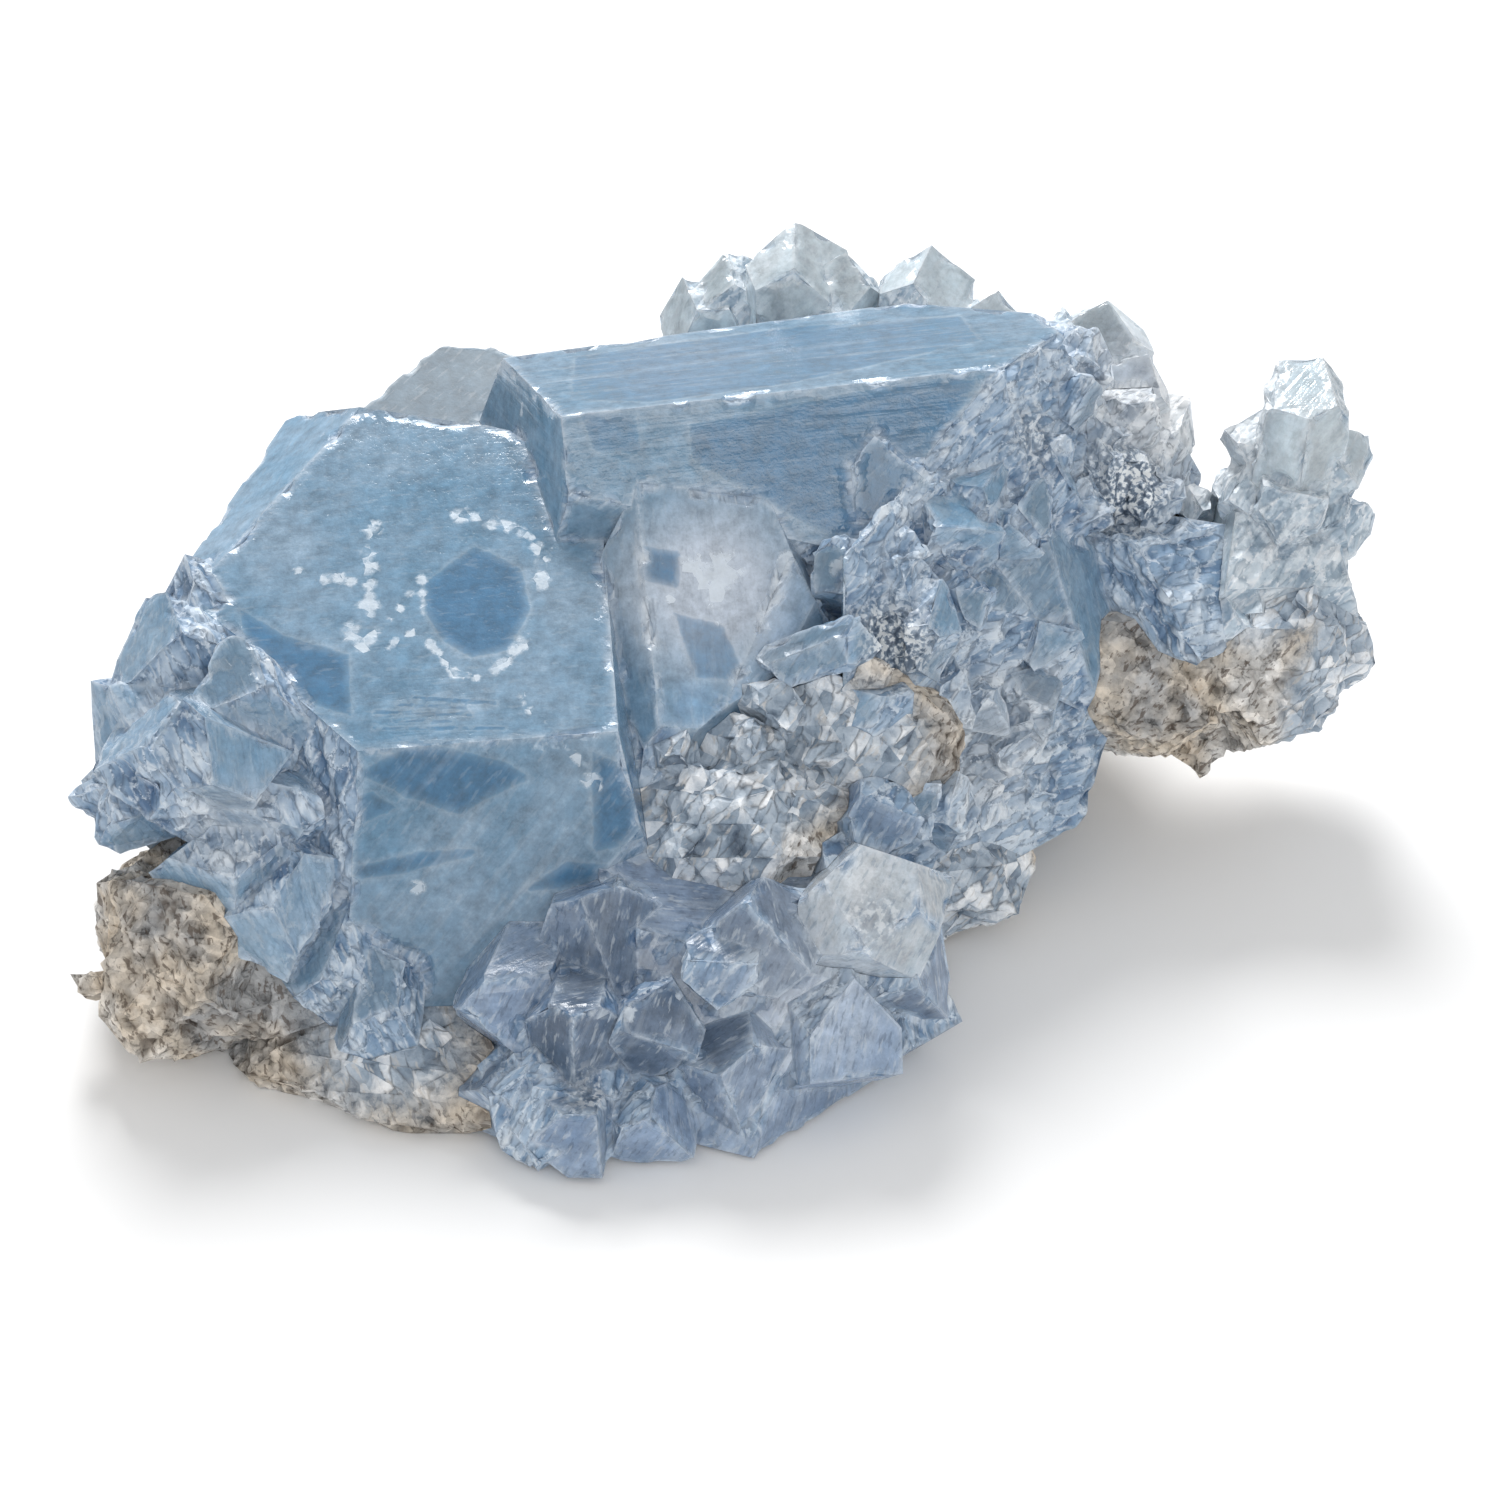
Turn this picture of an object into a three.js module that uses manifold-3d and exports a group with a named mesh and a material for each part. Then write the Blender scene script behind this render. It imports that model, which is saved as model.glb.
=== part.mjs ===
// Celestite crystal cluster on its rind of grainy rock, in millimetres, +Z up, the seen side towards -Y.
import * as THREE from "three";
import { ConvexGeometry } from "three/addons/geometries/ConvexGeometry.js";
import { mergeVertices } from "three/addons/utils/BufferGeometryUtils.js";
import { ImprovedNoise } from "three/addons/math/ImprovedNoise.js";
import Module from "manifold-3d";

const wasm = await Module();
wasm.setup();

// Driving dimensions
const GAP = 0.3; // between neighbouring pieces
const BASE_LEVEL = 0; // the flat that the rock rests on
const CRYSTAL_CLEARANCE = 0.4; // how far the crystals stay above that flat
const GROUND_SIZE = 200; // block that trims what would reach below it
const WELD = 1e-4; // vertices closer than this are one
const ROCK_BUMPS = 0.2; // height of the rock's bumps, as a share of a lump's radius
const BROAD_WAVES = 1.7; // how closely the broad bumps follow each other
const FINE_WAVES = 4.3;
const CRUST_LOWEST = 2.5; // no tiny crystal grows lower than this

// How the tiny crystals of the rock's crust vary: a length, shares of that length, and degrees.
const CRUST = {
  length: [3.5, 6.5], width: 0.62, thickness: 0.5, rise: 0.22, turn: [-25, 25], lean: [-25, 25],
};

// How the small crystals of a crowd vary: shares of the crowd's size, and degrees.
const CROWD = {
  rise: [-0.06, 0.14], length: [1, 1.4], width: [0.55, 0.85], thickness: [0.35, 0.6],
  turn: [-40, 40], lean: [-30, 30],
};

// Angles between a celestite crystal's axes and its face normals, in degrees
const PRISM_FROM_LENGTH = 38.0;
const DOME_FROM_FLAT = 52.1;
const CHISEL_FROM_FLAT = 39.4;

const noise = new ImprovedNoise();

// Seeded random numbers between 0 and 1, the same on each run.
function randomFrom(seed) {
  let state = seed;
  return () => {
    state = (state * 1664525 + 1013904223) % 4294967296;
    return state / 4294967296;
  };
}

function pick(random, [low, high]) {
  return low + (high - low) * random();
}

const radians = THREE.MathUtils.degToRad;
const degrees = THREE.MathUtils.radToDeg;
const anyRoll = (random) => pick(random, [0, 180]);

// A direction from its azimuth (0 is +X, 90 is +Y) and its tilt away from straight up.
function facing(azimuth, tilt) {
  const level = Math.sin(radians(tilt));
  return new THREE.Vector3(
    level * Math.cos(radians(azimuth)), level * Math.sin(radians(azimuth)), Math.cos(radians(tilt)),
  );
}

// A crystal from its middle and its faces, each an azimuth, a tilt and a distance from the middle.
function faceted(middle, faces) {
  return {
    middle: new THREE.Vector3(...middle),
    planes: faces.map(([azimuth, tilt, distance]) => ({ normal: facing(azimuth, tilt), distance })),
  };
}

// How many kinds of face a crystal shows: tiny ones have no flats, and only big ones have chisel ends.
const TINY = 0;
const SMALL = 1;
const BIG = 2;

// The faces of a celestite crystal lying along X: flats, domes beside them, prism faces and chisel ends.
function habit([length, width, thickness], grade) {
  const planes = [];
  const add = (x, y, z, distance) => planes.push({ normal: new THREE.Vector3(x, y, z), distance });
  const prism = radians(PRISM_FROM_LENGTH);
  const dome = radians(DOME_FROM_FLAT);
  const chisel = radians(CHISEL_FROM_FLAT);
  for (const side of [-1, 1]) {
    if (grade >= SMALL) add(0, 0, side, thickness / 2);
    for (const end of [-1, 1]) {
      add(0, end * Math.sin(dome), side * Math.cos(dome), (width / 2) * Math.sin(dome));
      add(end * Math.cos(prism), side * Math.sin(prism), 0, (length / 2) * Math.cos(prism));
      if (grade < BIG) continue;
      add(end * Math.sin(chisel), 0, side * Math.cos(chisel), (length / 2) * Math.sin(chisel));
    }
  }
  return planes;
}

// A crystal of that habit whose outer end is at the tip, pointing along its heading and lift.
function blade(tip, sizes, [heading, lift, roll], grade = SMALL) {
  const turn = new THREE.Quaternion().setFromEuler(
    new THREE.Euler(radians(roll), radians(-lift), radians(heading), "ZYX"),
  );
  const along = new THREE.Vector3(1, 0, 0).applyQuaternion(turn);
  const middle = new THREE.Vector3(...tip).addScaledVector(along, -sizes[0] / 2);
  const planes = habit(sizes, grade);
  planes.forEach((plane) => plane.normal.applyQuaternion(turn));
  return { middle, planes };
}

// The corners of the space inside all of a crystal's faces, each face moved out by grow.
function corners({ middle, planes }, grow) {
  const found = [];
  const cross = new THREE.Vector3();
  const inside = (point) => planes.every((p) => p.normal.dot(point) <= p.distance + grow + 1e-6);
  for (let i = 0; i < planes.length; i++) {
    for (let j = i + 1; j < planes.length; j++) {
      for (let k = j + 1; k < planes.length; k++) {
        const [a, b, c] = [planes[i], planes[j], planes[k]];
        const volume = a.normal.dot(cross.crossVectors(b.normal, c.normal));
        if (Math.abs(volume) < 1e-6) continue;
        const point = new THREE.Vector3()
          .addScaledVector(cross, a.distance + grow)
          .addScaledVector(new THREE.Vector3().crossVectors(c.normal, a.normal), b.distance + grow)
          .addScaledVector(new THREE.Vector3().crossVectors(a.normal, b.normal), c.distance + grow)
          .divideScalar(volume);
        if (inside(point)) found.push(point.add(middle));
      }
    }
  }
  return found;
}

// A closed geometry as a solid that can be joined and cut.
function solidOf(geometry) {
  const bare = geometry.clone();
  bare.deleteAttribute("normal");
  bare.deleteAttribute("uv");
  const merged = mergeVertices(bare, WELD);
  return new wasm.Manifold(new wasm.Mesh({
    numProp: 3,
    vertProperties: new Float32Array(merged.attributes.position.array),
    triVerts: new Uint32Array(merged.index.array),
  }));
}

function crystalSolid(crystal, grow = 0) {
  return solidOf(new ConvexGeometry(corners(crystal, grow)));
}

function join(solids) {
  return solids.reduce((whole, next) => whole.add(next));
}

// The biggest of the bodies that a cut leaves: slivers of rock between two crystals fall away.
function biggest(solid) {
  return solid.decompose().reduce((best, next) => (next.volume() > best.volume() ? next : best));
}

// A rounded lump of rock: an ellipsoid with bumps and hollows of noise.
function lump(rock) {
  const geometry = new THREE.IcosahedronGeometry(1, rock.detail);
  const position = geometry.getAttribute("position");
  for (let i = 0; i < position.count; i++) {
    const out = new THREE.Vector3().fromBufferAttribute(position, i);
    position.setXYZ(i, ...skinPoint(rock, out));
  }
  return solidOf(geometry);
}

// How far a lump reaches in a direction, as a share of its radius.
function lumpReach(direction, seed, bumps) {
  const broad = direction.clone().multiplyScalar(BROAD_WAVES);
  const fine = direction.clone().multiplyScalar(FINE_WAVES);
  const waves = noise.noise(broad.x + seed, broad.y, broad.z) + noise.noise(fine.x, fine.y + seed, fine.z);
  return 1 + bumps * waves;
}

// A point on a lump's skin.
function skinPoint({ middle, radii, bumps = ROCK_BUMPS, seed }, out) {
  return new THREE.Vector3(...radii).multiply(out)
    .multiplyScalar(lumpReach(out, seed, bumps)).add(new THREE.Vector3(...middle));
}

// Tiny crystals that stand out of a lump, in a crust all round it but not under the cluster.
function crustOf(rock) {
  const random = randomFrom(rock.seed * 977);
  const crystals = [];
  while (crystals.length < (rock.crust ?? 0)) {
    const out = facing(random() * 360, degrees(Math.acos(1 - 2 * random())));
    const length = pick(random, CRUST.length);
    const tip = skinPoint(rock, out).addScaledVector(out, length * CRUST.rise);
    const heading = degrees(Math.atan2(out.y, out.x)) + pick(random, CRUST.turn);
    const lift = degrees(Math.asin(out.z)) + pick(random, CRUST.lean);
    if (tip.z < CRUST_LOWEST) continue;
    const sizes = [length, length * CRUST.width, length * CRUST.thickness];
    crystals.push(blade(tip.toArray(), sizes, [heading, lift, anyRoll(random)], TINY));
  }
  return crystals;
}

// The great left crystal: its six-sided top face, the long lower front and the bevels round them.
function greatCrystal() {
  return faceted([-28, -2, 20], [
    [-100, 20, 11.3], [-90, 70, 13.4], [-179, 29.5, 19.5], [75, 48, 29.8], [38, 53, 27.9],
    [0.9, 77.7, 20.9], [-38, 66, 25.5], [-130.9, 71.8, 11.8], [-120, 98, 17.3],
    [-58, 98, 22.4], [162, 78, 22.9], [90, 125, 24.6], [180, 168, 13],
  ]);
}

// The long upper crystal: a striated back slope, a dark front face and a stepped right side.
function upperCrystal() {
  return faceted([6, 16, 28], [
    [-82, 52, 13.7], [111, 9, 18.0], [105, 65, 20.3], [71, 65, 25.4], [122, 70, 26.8], [-160, 80, 23.4],
    [-67.8, 65.8, 13.9], [-33, 65, 21.5], [20, 60, 30.7], [-93, 95, 9.95], [95, 130, 14.1],
    [10, 125, 24.8], [0, 180, 12],
  ]);
}

// The domed middle crystal between them.
function middleCrystal() {
  return faceted([-3, 3, 22], [
    [-79, 42, 11.1], [-128, 52, 11.5], [-150, 64, 11.4], [-144, 72, 10.8], [-84, 70, 12.4],
    [-59, 72, 11.3], [-47.5, 66, 11.8], [-61, 52, 11.5], [-50, 100, 8.5], [90, 75, 14],
    [160, 70, 11.6], [0, 60, 14.7], [40, 50, 17], [0, 180, 8],
  ]);
}

// The body of grown-together crystals under the rugged slope to the right of the upper crystal.
function rightBody() {
  return faceted([24, 14, 24], [
    [-37.5, 54.7, 7], [-50, 72, 7.5], [155, 59, 13], [180, 90, 14], [90, 80, 17], [0, 85, 14],
    [35, 60, 17], [80, 20, 17], [0, 110, 13], [0, 180, 16],
  ]);
}

// The broad flat crystal at the root of the right lobe.
function lobeCrystal() {
  return faceted([41, 17, 21], [
    [-39, 48, 6.6], [-45, 92, 7.5], [30, 80, 7.5], [70, 55, 8], [150, 85, 8], [-130, 85, 7.5],
    [80, 15, 9], [0, 180, -1.5],
  ]);
}

// Crystals that crowd the left side: where each one's outer end is, its size and how it lies.
const LEFT_CRYSTALS = [
  [[-52.5, -12.5, 25], [18, 15, 12], [200, 8, 20], BIG],
  [[-50.8, 0.5, 29.5], [16, 12, 9], [172, 18, 60]],
  [[-53.4, -4.5, 24], [16, 11, 8], [182, 0, 25]],
  [[-53.4, -10, 19], [14, 10, 8], [195, -12, 80]],
  [[-48, 5.5, 31.5], [14, 11, 8], [163, 30, 10]],
  [[-45, -17.5, 14], [14, 12, 9], [215, -22, 40]],
  [[-39, -21.5, 12], [13, 10, 7], [240, -25, 70]],
  [[-34, -22.5, 7.5], [12, 9, 6], [250, -30, 20]],
  [[-46, -14, 29.5], [12, 10, 8], [205, 38, 0]],
  [[-42.5, -8, 32.5], [12, 9, 7], [190, 50, 50]],
  [[-29, -25.5, 5], [11, 9, 6], [262, -30, 60]],
];

// Crystals of the rugged right slope.
const RIGHT_CRYSTALS = [
  [[15.5, 9, 42], [14, 10, 7], [-50, 55, 20]],
  [[21, 5.5, 37.5], [14, 10, 7], [-60, 35, 70]],
  [[30, 14, 37.5], [14, 11, 7], [-40, 40, 0]],
  [[37, 19.5, 36], [14, 10, 7], [-30, 38, 55]],
  [[42, 26.5, 33], [14, 10, 8], [5, 30, 20]],
  [[15.5, -1, 35], [12, 9, 7], [-80, 35, 10]],
  [[38.5, 27.5, 38.5], [14, 9, 7], [15, 52, 65]],
  [[10.5, 1.5, 37], [10, 7, 5], [-85, 50, 35]],
];

// Slanted blades of the lower right flank and the front.
const FRONT_CRYSTALS = [
  [[-9.5, -25, 14.5], [15, 15, 12], [-92, 25, 20]],
  [[-18.5, -27.5, 9], [14, 11, 8], [-105, -5, 50]],
  [[-12, -31, 9.5], [14, 11, 9], [-95, 5, 0]],
  [[-5, -30.5, 11], [15, 9, 7], [-80, 20, 65]],
  [[4.5, -26, 18.5], [15, 12, 8], [-70, 40, 30]],
  [[0, -27.5, 17], [14, 8, 6], [-88, 40, 85]],
  [[1, -32, 5], [15, 13, 9], [-85, -5, 15]],
  [[11, -29, 6], [15, 13, 9], [-65, -8, 75]],
  [[17.5, -23, 9], [15, 12, 8], [-48, -5, 35]],
  [[14, -14, 22.5], [10, 8, 6], [-60, 45, 50]],
];

// Patches that small crystals crowd, each from its upper left corner round to its lower left one.
const LEFT_PATCH = {
  corners: [[-49, 3, 31], [-43, -10, 28], [-33, -22, 11], [-53, -14, 18]],
  out: [205, 70], rows: 3, columns: 2, size: 10, seed: 11,
};
const RIGHT_PATCH = {
  corners: [[16, 8.5, 42], [36, 27.5, 43], [43, 20.5, 30], [17, -2, 34]],
  out: [-40, 50], rows: 4, columns: 4, size: 9.5, seed: 18,
};
const FLANK_PATCH = {
  corners: [[10, -4, 36], [32, 8, 29], [30, 2, 10], [14, -14, 17]],
  out: [-50, 62], rows: 4, columns: 4, size: 9.5, seed: 13,
};
const FRONT_PATCH = {
  corners: [[-7, -22, 15], [14, -18, 19], [18, -22, 7], [-14, -31, 5]],
  out: [-82, 50], rows: 3, columns: 3, size: 13, seed: 14,
};
const FOOT_PATCH = {
  corners: [[-13, -30, 8], [18, -23, 9], [19, -19, 3], [-12, -33, 3]],
  out: [-80, 70], rows: 1, columns: 5, size: 10, seed: 15,
};
const LOBE_PATCH = {
  corners: [[41, 26, 31], [56, 24, 30.5], [55.5, 14, 23.5], [41, 10, 25.5]],
  out: [-75, 42], rows: 3, columns: 3, size: 7, seed: 25,
};

// The strip of rock between the big crystals and the front, with small crystals grown in it.
const STRIP_PATCH = {
  corners: [[-5, -9, 26], [12, -3, 31], [14, -12, 22.5], [-3, -17, 18.5]],
  out: [-70, 45], rows: 3, columns: 3, size: 8.5, seed: 22,
};

// The jagged rim of small crystals along the foot of the front.
const RIM = {
  from: [-18, -31, 3], over: [-9.9, -35, 2], to: [18, -22, 3], count: 9, sizes: [11.5, 9.5, 6.5],
  heading: [-105, -35], turn: [-15, 15], lift: [-8, 12], rise: [0, 2], seed: 41,
};

// Blocks that carry the front crystals.
function frontBody() {
  return faceted([4, -16, 9], [
    [-88, 52, 8.5], [-60, 66, 10], [-46, 82, 9.5], [-15, 88, 10], [-110, 70, 12], [180, 85, 15],
    [90, 80, 5], [20, 60, 10], [-70, 25, 7], [0, 180, 8.6],
  ]);
}

// A crowd of crystals over a four-cornered patch: rows by columns of them, leaning out of it at random.
function crowd({ corners: [a, b, c, d], out: [azimuth, tilt], rows, columns, size, seed }) {
  const random = randomFrom(seed);
  const [upLeft, upRight, downRight, downLeft] = [a, b, c, d].map((p) => new THREE.Vector3(...p));
  const away = facing(azimuth, tilt);
  return Array.from({ length: rows * columns }, (_, index) => {
    const across = ((index % columns) + random()) / columns;
    const down = (Math.floor(index / columns) + random()) / rows;
    const top = upLeft.clone().lerp(upRight, across);
    const tip = top.lerp(downLeft.clone().lerp(downRight, across), down);
    tip.addScaledVector(away, size * pick(random, CROWD.rise));
    const sizes = [CROWD.length, CROWD.width, CROWD.thickness].map((range) => size * pick(random, range));
    const heading = azimuth + pick(random, CROWD.turn);
    const lift = 90 - tilt + pick(random, CROWD.lean);
    return blade(tip.toArray(), sizes, [heading, lift, anyRoll(random)]);
  });
}

function rimCrystals() {
  const { from, over, to, count, sizes, heading: [first, last], turn, lift, rise, seed } = RIM;
  const line = new THREE.CatmullRomCurve3([from, over, to].map((p) => new THREE.Vector3(...p)));
  const random = randomFrom(seed);
  return Array.from({ length: count }, (_, i) => {
    const share = i / (count - 1);
    const tip = line.getPoint(share);
    tip.z += pick(random, rise);
    const heading = THREE.MathUtils.lerp(first, last, share) + pick(random, turn);
    return blade(tip.toArray(), sizes, [heading, pick(random, lift), anyRoll(random)]);
  });
}

// The clear crystal that lies loose-looking on the front flank.
function clearNugget() {
  return [
    faceted([12.4, -20.6, 16.6], [
      [-75, 40, 4.0], [-20, 62, 5.0], [-120, 70, 5.2], [-60, 88, 4.3], [150, 50, 5.2],
      [60, 40, 5.0], [-10, 110, 5.5], [-100, 125, 4.6], [80, 100, 5], [170, 100, 5.4], [0, 170, 5],
    ]),
  ];
}

// The pale upright crystal on the right lobe, and the small ones round its foot.
function towerCrystals() {
  return [
    faceted([50.5, 20, 23], [
      [-75, 42, 6.3], [0, 75, 6], [180, 75, 7], [90, 80, 6], [-80, 88, 6], [90, 25, 7], [0, 180, 3],
    ]),
    ...crowd(LOBE_PATCH),
    faceted([51.4, 22.8, 36], [
      [-110, 14, 5.4], [184, 42, 5.8], [-6, 50, 5.4], [178, 84, 4.0], [2, 92, 3.8], [-62, 86, 3.7],
      [-122, 84, 3.9], [90, 88, 4], [140, 88, 4.2], [0, 180, 10],
    ]),
    blade([47.3, 25.5, 37.5], [17, 8, 6.5], [150, 66, 60]),
    blade([55.5, 23.5, 37], [17, 8.5, 6.5], [20, 68, 10]),
    blade([50.5, 17.5, 34], [15, 8, 6], [-80, 55, 70]),
    blade([57.5, 20.5, 31], [14, 8, 6], [-10, 35, 40]),
    blade([46, 21, 34], [14, 8, 6], [-140, 58, 15]),
  ];
}

// The flat grey crystal behind the great left one.
function backLeftCrystals() {
  return [
    faceted([-24, 30, 26], [
      [-95, 12, 9.6], [150, 60, 11.5], [165, 100, 11], [95, 62, 13], [20, 70, 12], [60, 40, 14],
      [10, 100, 10], [110, 135, 10], [-90, 90, 10], [0, 180, 10],
    ]),
  ];
}

// The pale, nearly clear teeth behind the upper crystal.
function backMiddleCrystals() {
  return [
    blade([6.4, 41, 49], [24, 13, 11], [95, 78, 50], BIG),
    blade([0.2, 42.5, 45.4], [20, 11, 9], [120, 66, 30], BIG),
    blade([-4, 40.5, 43.5], [17, 10, 8], [150, 60, 70], BIG),
    blade([11, 39.5, 46.5], [18, 9, 8], [60, 72, 20], BIG),
    blade([18.9, 39.6, 47.2], [20, 11, 9], [70, 74, 55], BIG),
    blade([25, 37, 44], [17, 10, 8], [60, 66, 35], BIG),
  ];
}

// The pale teeth at the back right corner.
function backRightCrystals() {
  return [
    blade([35, 37, 43], [20, 10.5, 9], [60, 76, 15], BIG),
    blade([38.5, 32, 40], [17, 9, 7], [20, 62, 50], BIG),
    blade([31, 37.5, 42], [16, 9, 7], [90, 64, 75], BIG),
    blade([42.5, 31, 36], [15, 9, 7], [10, 45, 25], BIG),
  ];
}

// The lumps of rock that the rind is made of.
const LUMPS = [
  { middle: [-14, 1, 7], radii: [36, 22, 9], seed: 1, detail: 2 },
  { middle: [-42.5, -12, 8], radii: [12, 12, 9.5], bumps: 0.28, seed: 5, detail: 2, crust: 4 },
  { middle: [-36, 12, 16], radii: [14, 17, 15], seed: 8, detail: 2, crust: 2 },
  { middle: [-18, -19, 1.5], radii: [22, 11.5, 6], seed: 3, detail: 2, crust: 6 },
  { middle: [-12, 28, 16], radii: [27, 12.5, 17], bumps: 0.3, seed: 6, detail: 2, crust: 3 },
  { middle: [18, 28, 19], radii: [24, 12.5, 18], bumps: 0.3, seed: 12, detail: 2, crust: 3 },
  { middle: [1, -10, 17], radii: [10, 8, 8], seed: 10, detail: 2 },
  { middle: [11, -3, 21.5], radii: [9.5, 8, 8.5], seed: 15, detail: 2 },
  { middle: [16, 0, 7], radii: [11, 9, 7.5], seed: 17, detail: 1 },
  { middle: [35, 17, 17], radii: [13, 11, 8.5], seed: 14, detail: 1, crust: 2 },
  { middle: [48, 19, 18], radii: [11, 12, 9.8], bumps: 0.28, seed: 9, detail: 2, crust: 4 },
];

function ground(level) {
  const block = new THREE.BoxGeometry(GROUND_SIZE, GROUND_SIZE, GROUND_SIZE);
  return solidOf(block.translate(0, 0, level - GROUND_SIZE / 2));
}

const CRYSTAL_GROUPS = {
  main_crystals: [
    greatCrystal(), upperCrystal(), middleCrystal(), rightBody(), lobeCrystal(),
    ...LEFT_CRYSTALS.map((row) => blade(...row)),
    ...RIGHT_CRYSTALS.map((row) => blade(...row)),
    ...crowd(LEFT_PATCH),
    ...crowd(RIGHT_PATCH),
    ...crowd(FLANK_PATCH),
  ],
  clear_crystal: clearNugget(),
  front_crystals: [
    frontBody(),
    ...FRONT_CRYSTALS.map((row) => blade(...row)),
    ...crowd(FRONT_PATCH),
    ...crowd(FOOT_PATCH),
    ...rimCrystals(),
  ],
  tower_crystals: towerCrystals(),
  back_left_crystal: backLeftCrystals(),
  back_middle_crystals: backMiddleCrystals(),
  back_right_crystals: backRightCrystals(),
};

// Each group is cut back from the ones before it, so that neighbours keep the gap.
function crystalNodes(groups) {
  const under = ground(BASE_LEVEL + CRYSTAL_CLEARANCE);
  const solids = {};
  let taken = null;
  for (const [name, crystals] of Object.entries(groups)) {
    let whole = join(crystals.map((crystal) => crystalSolid(crystal))).subtract(under);
    if (taken) whole = whole.subtract(taken);
    solids[name] = biggest(whole);
    const sleeve = join(crystals.map((crystal) => crystalSolid(crystal, GAP)));
    taken = taken ? taken.add(sleeve) : sleeve;
  }
  return { solids, taken };
}

function matrixSolid(sockets) {
  const rock = join(LUMPS.map(lump));
  const crust = [...LUMPS.flatMap(crustOf), ...crowd(STRIP_PATCH)].map((crystal) => crystalSolid(crystal));
  return biggest(join([rock, ...crust]).subtract(sockets).subtract(ground(BASE_LEVEL)));
}

const FINISHES = {
  matrix: { color: 0xb9b2a8, roughness: 0.9 },
  main_crystals: { color: 0x86a5c4, roughness: 0.15 },
  front_crystals: { color: 0x98aac6, roughness: 0.25 },
  clear_crystal: { color: 0xb4c6d8, roughness: 0.05 },
  tower_crystals: { color: 0xc3d6de, roughness: 0.12 },
  back_left_crystal: { color: 0xa9bccb, roughness: 0.2 },
  back_middle_crystals: { color: 0xbfd2dc, roughness: 0.12 },
  back_right_crystals: { color: 0xbccdd4, roughness: 0.15 },
};

function meshOf(name, solid) {
  const { numProp, vertProperties, triVerts, numVert } = solid.getMesh();
  const places = new Float32Array(numVert * 3);
  for (let i = 0; i < numVert; i++) {
    places.set(vertProperties.subarray(i * numProp, i * numProp + 3), i * 3);
  }
  const geometry = new THREE.BufferGeometry();
  geometry.setAttribute("position", new THREE.BufferAttribute(places, 3));
  geometry.setIndex(new THREE.BufferAttribute(triVerts, 1));
  const material = new THREE.MeshStandardMaterial({ ...FINISHES[name], metalness: 0 });
  const mesh = new THREE.Mesh(geometry, material);
  mesh.name = name;
  return mesh;
}

const cluster = new THREE.Group();
const { solids, taken } = crystalNodes(CRYSTAL_GROUPS);
cluster.add(meshOf("matrix", matrixSolid(taken)));
for (const [name, solid] of Object.entries(solids)) cluster.add(meshOf(name, solid));

// The origin is under the middle of the whole cluster, on the surface that it rests on.
const box = new THREE.Box3().setFromObject(cluster);
const middle = box.getCenter(new THREE.Vector3());
cluster.position.set(-middle.x, -middle.y, -box.min.z);

const part = new THREE.Group();
part.add(cluster);

export default part;
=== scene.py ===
"""Looks of the celestite crystal cluster. Blender is in metres; every number below is in millimetres."""

import math
from itertools import product

import bpy
import numpy as np
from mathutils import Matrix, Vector
from mathutils.bvhtree import BVHTree
from mathutils.geometry import delaunay_2d_cdt
from mathutils.kdtree import KDTree


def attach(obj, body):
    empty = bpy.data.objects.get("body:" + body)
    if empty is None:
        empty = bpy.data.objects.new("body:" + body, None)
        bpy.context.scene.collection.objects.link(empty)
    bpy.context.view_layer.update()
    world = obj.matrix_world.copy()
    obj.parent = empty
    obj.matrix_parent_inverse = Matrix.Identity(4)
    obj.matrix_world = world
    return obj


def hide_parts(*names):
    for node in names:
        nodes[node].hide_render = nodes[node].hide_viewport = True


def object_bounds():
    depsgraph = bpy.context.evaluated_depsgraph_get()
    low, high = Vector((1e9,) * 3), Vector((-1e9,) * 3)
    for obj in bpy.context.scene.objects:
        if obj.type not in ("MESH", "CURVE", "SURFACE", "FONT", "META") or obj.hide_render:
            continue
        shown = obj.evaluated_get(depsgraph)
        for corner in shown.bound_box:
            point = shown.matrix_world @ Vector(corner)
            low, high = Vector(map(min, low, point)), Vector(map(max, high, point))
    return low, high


MM = 0.001

# The camera: where it looks, how far away it is and how high it stands.
TARGET = (0.3, -10.2, 22.0)
CAMERA_DISTANCE = 283.0
CAMERA_ELEVATION = 35.0
CAMERA_LENS = 80.0

# Fine surfaces
CRYSTAL_SPACING = 0.38
ROCK_SPACING = 0.42
CONTACT = 0.45  # surfaces closer than this to a neighbour are grown against it
SAME_PLANE = 0.9998
SLIVER = 0.004
CREASE = 0.985
BRIDGED = 0.6  # gaps narrower than this are closed, because the pieces are grown together
SHARD_AREA = 60.0  # on faces smaller than this the shards follow the grain
CALM_NEAR = 1.6  # the relief fades out this close to a neighbour

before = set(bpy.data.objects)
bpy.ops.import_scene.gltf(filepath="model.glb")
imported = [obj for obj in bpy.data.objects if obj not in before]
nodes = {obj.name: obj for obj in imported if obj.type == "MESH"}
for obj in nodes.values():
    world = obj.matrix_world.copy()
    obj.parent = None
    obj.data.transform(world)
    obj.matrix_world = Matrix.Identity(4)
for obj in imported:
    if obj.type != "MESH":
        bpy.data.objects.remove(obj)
cad_box = [list(corner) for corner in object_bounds()]

# Each piece is cut back from the ones before it.
ORDER = [
    "main_crystals", "clear_crystal", "front_crystals", "tower_crystals",
    "back_left_crystal", "back_middle_crystals", "back_right_crystals", "matrix",
]


# ---- repeatable noise, for many points at once


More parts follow.
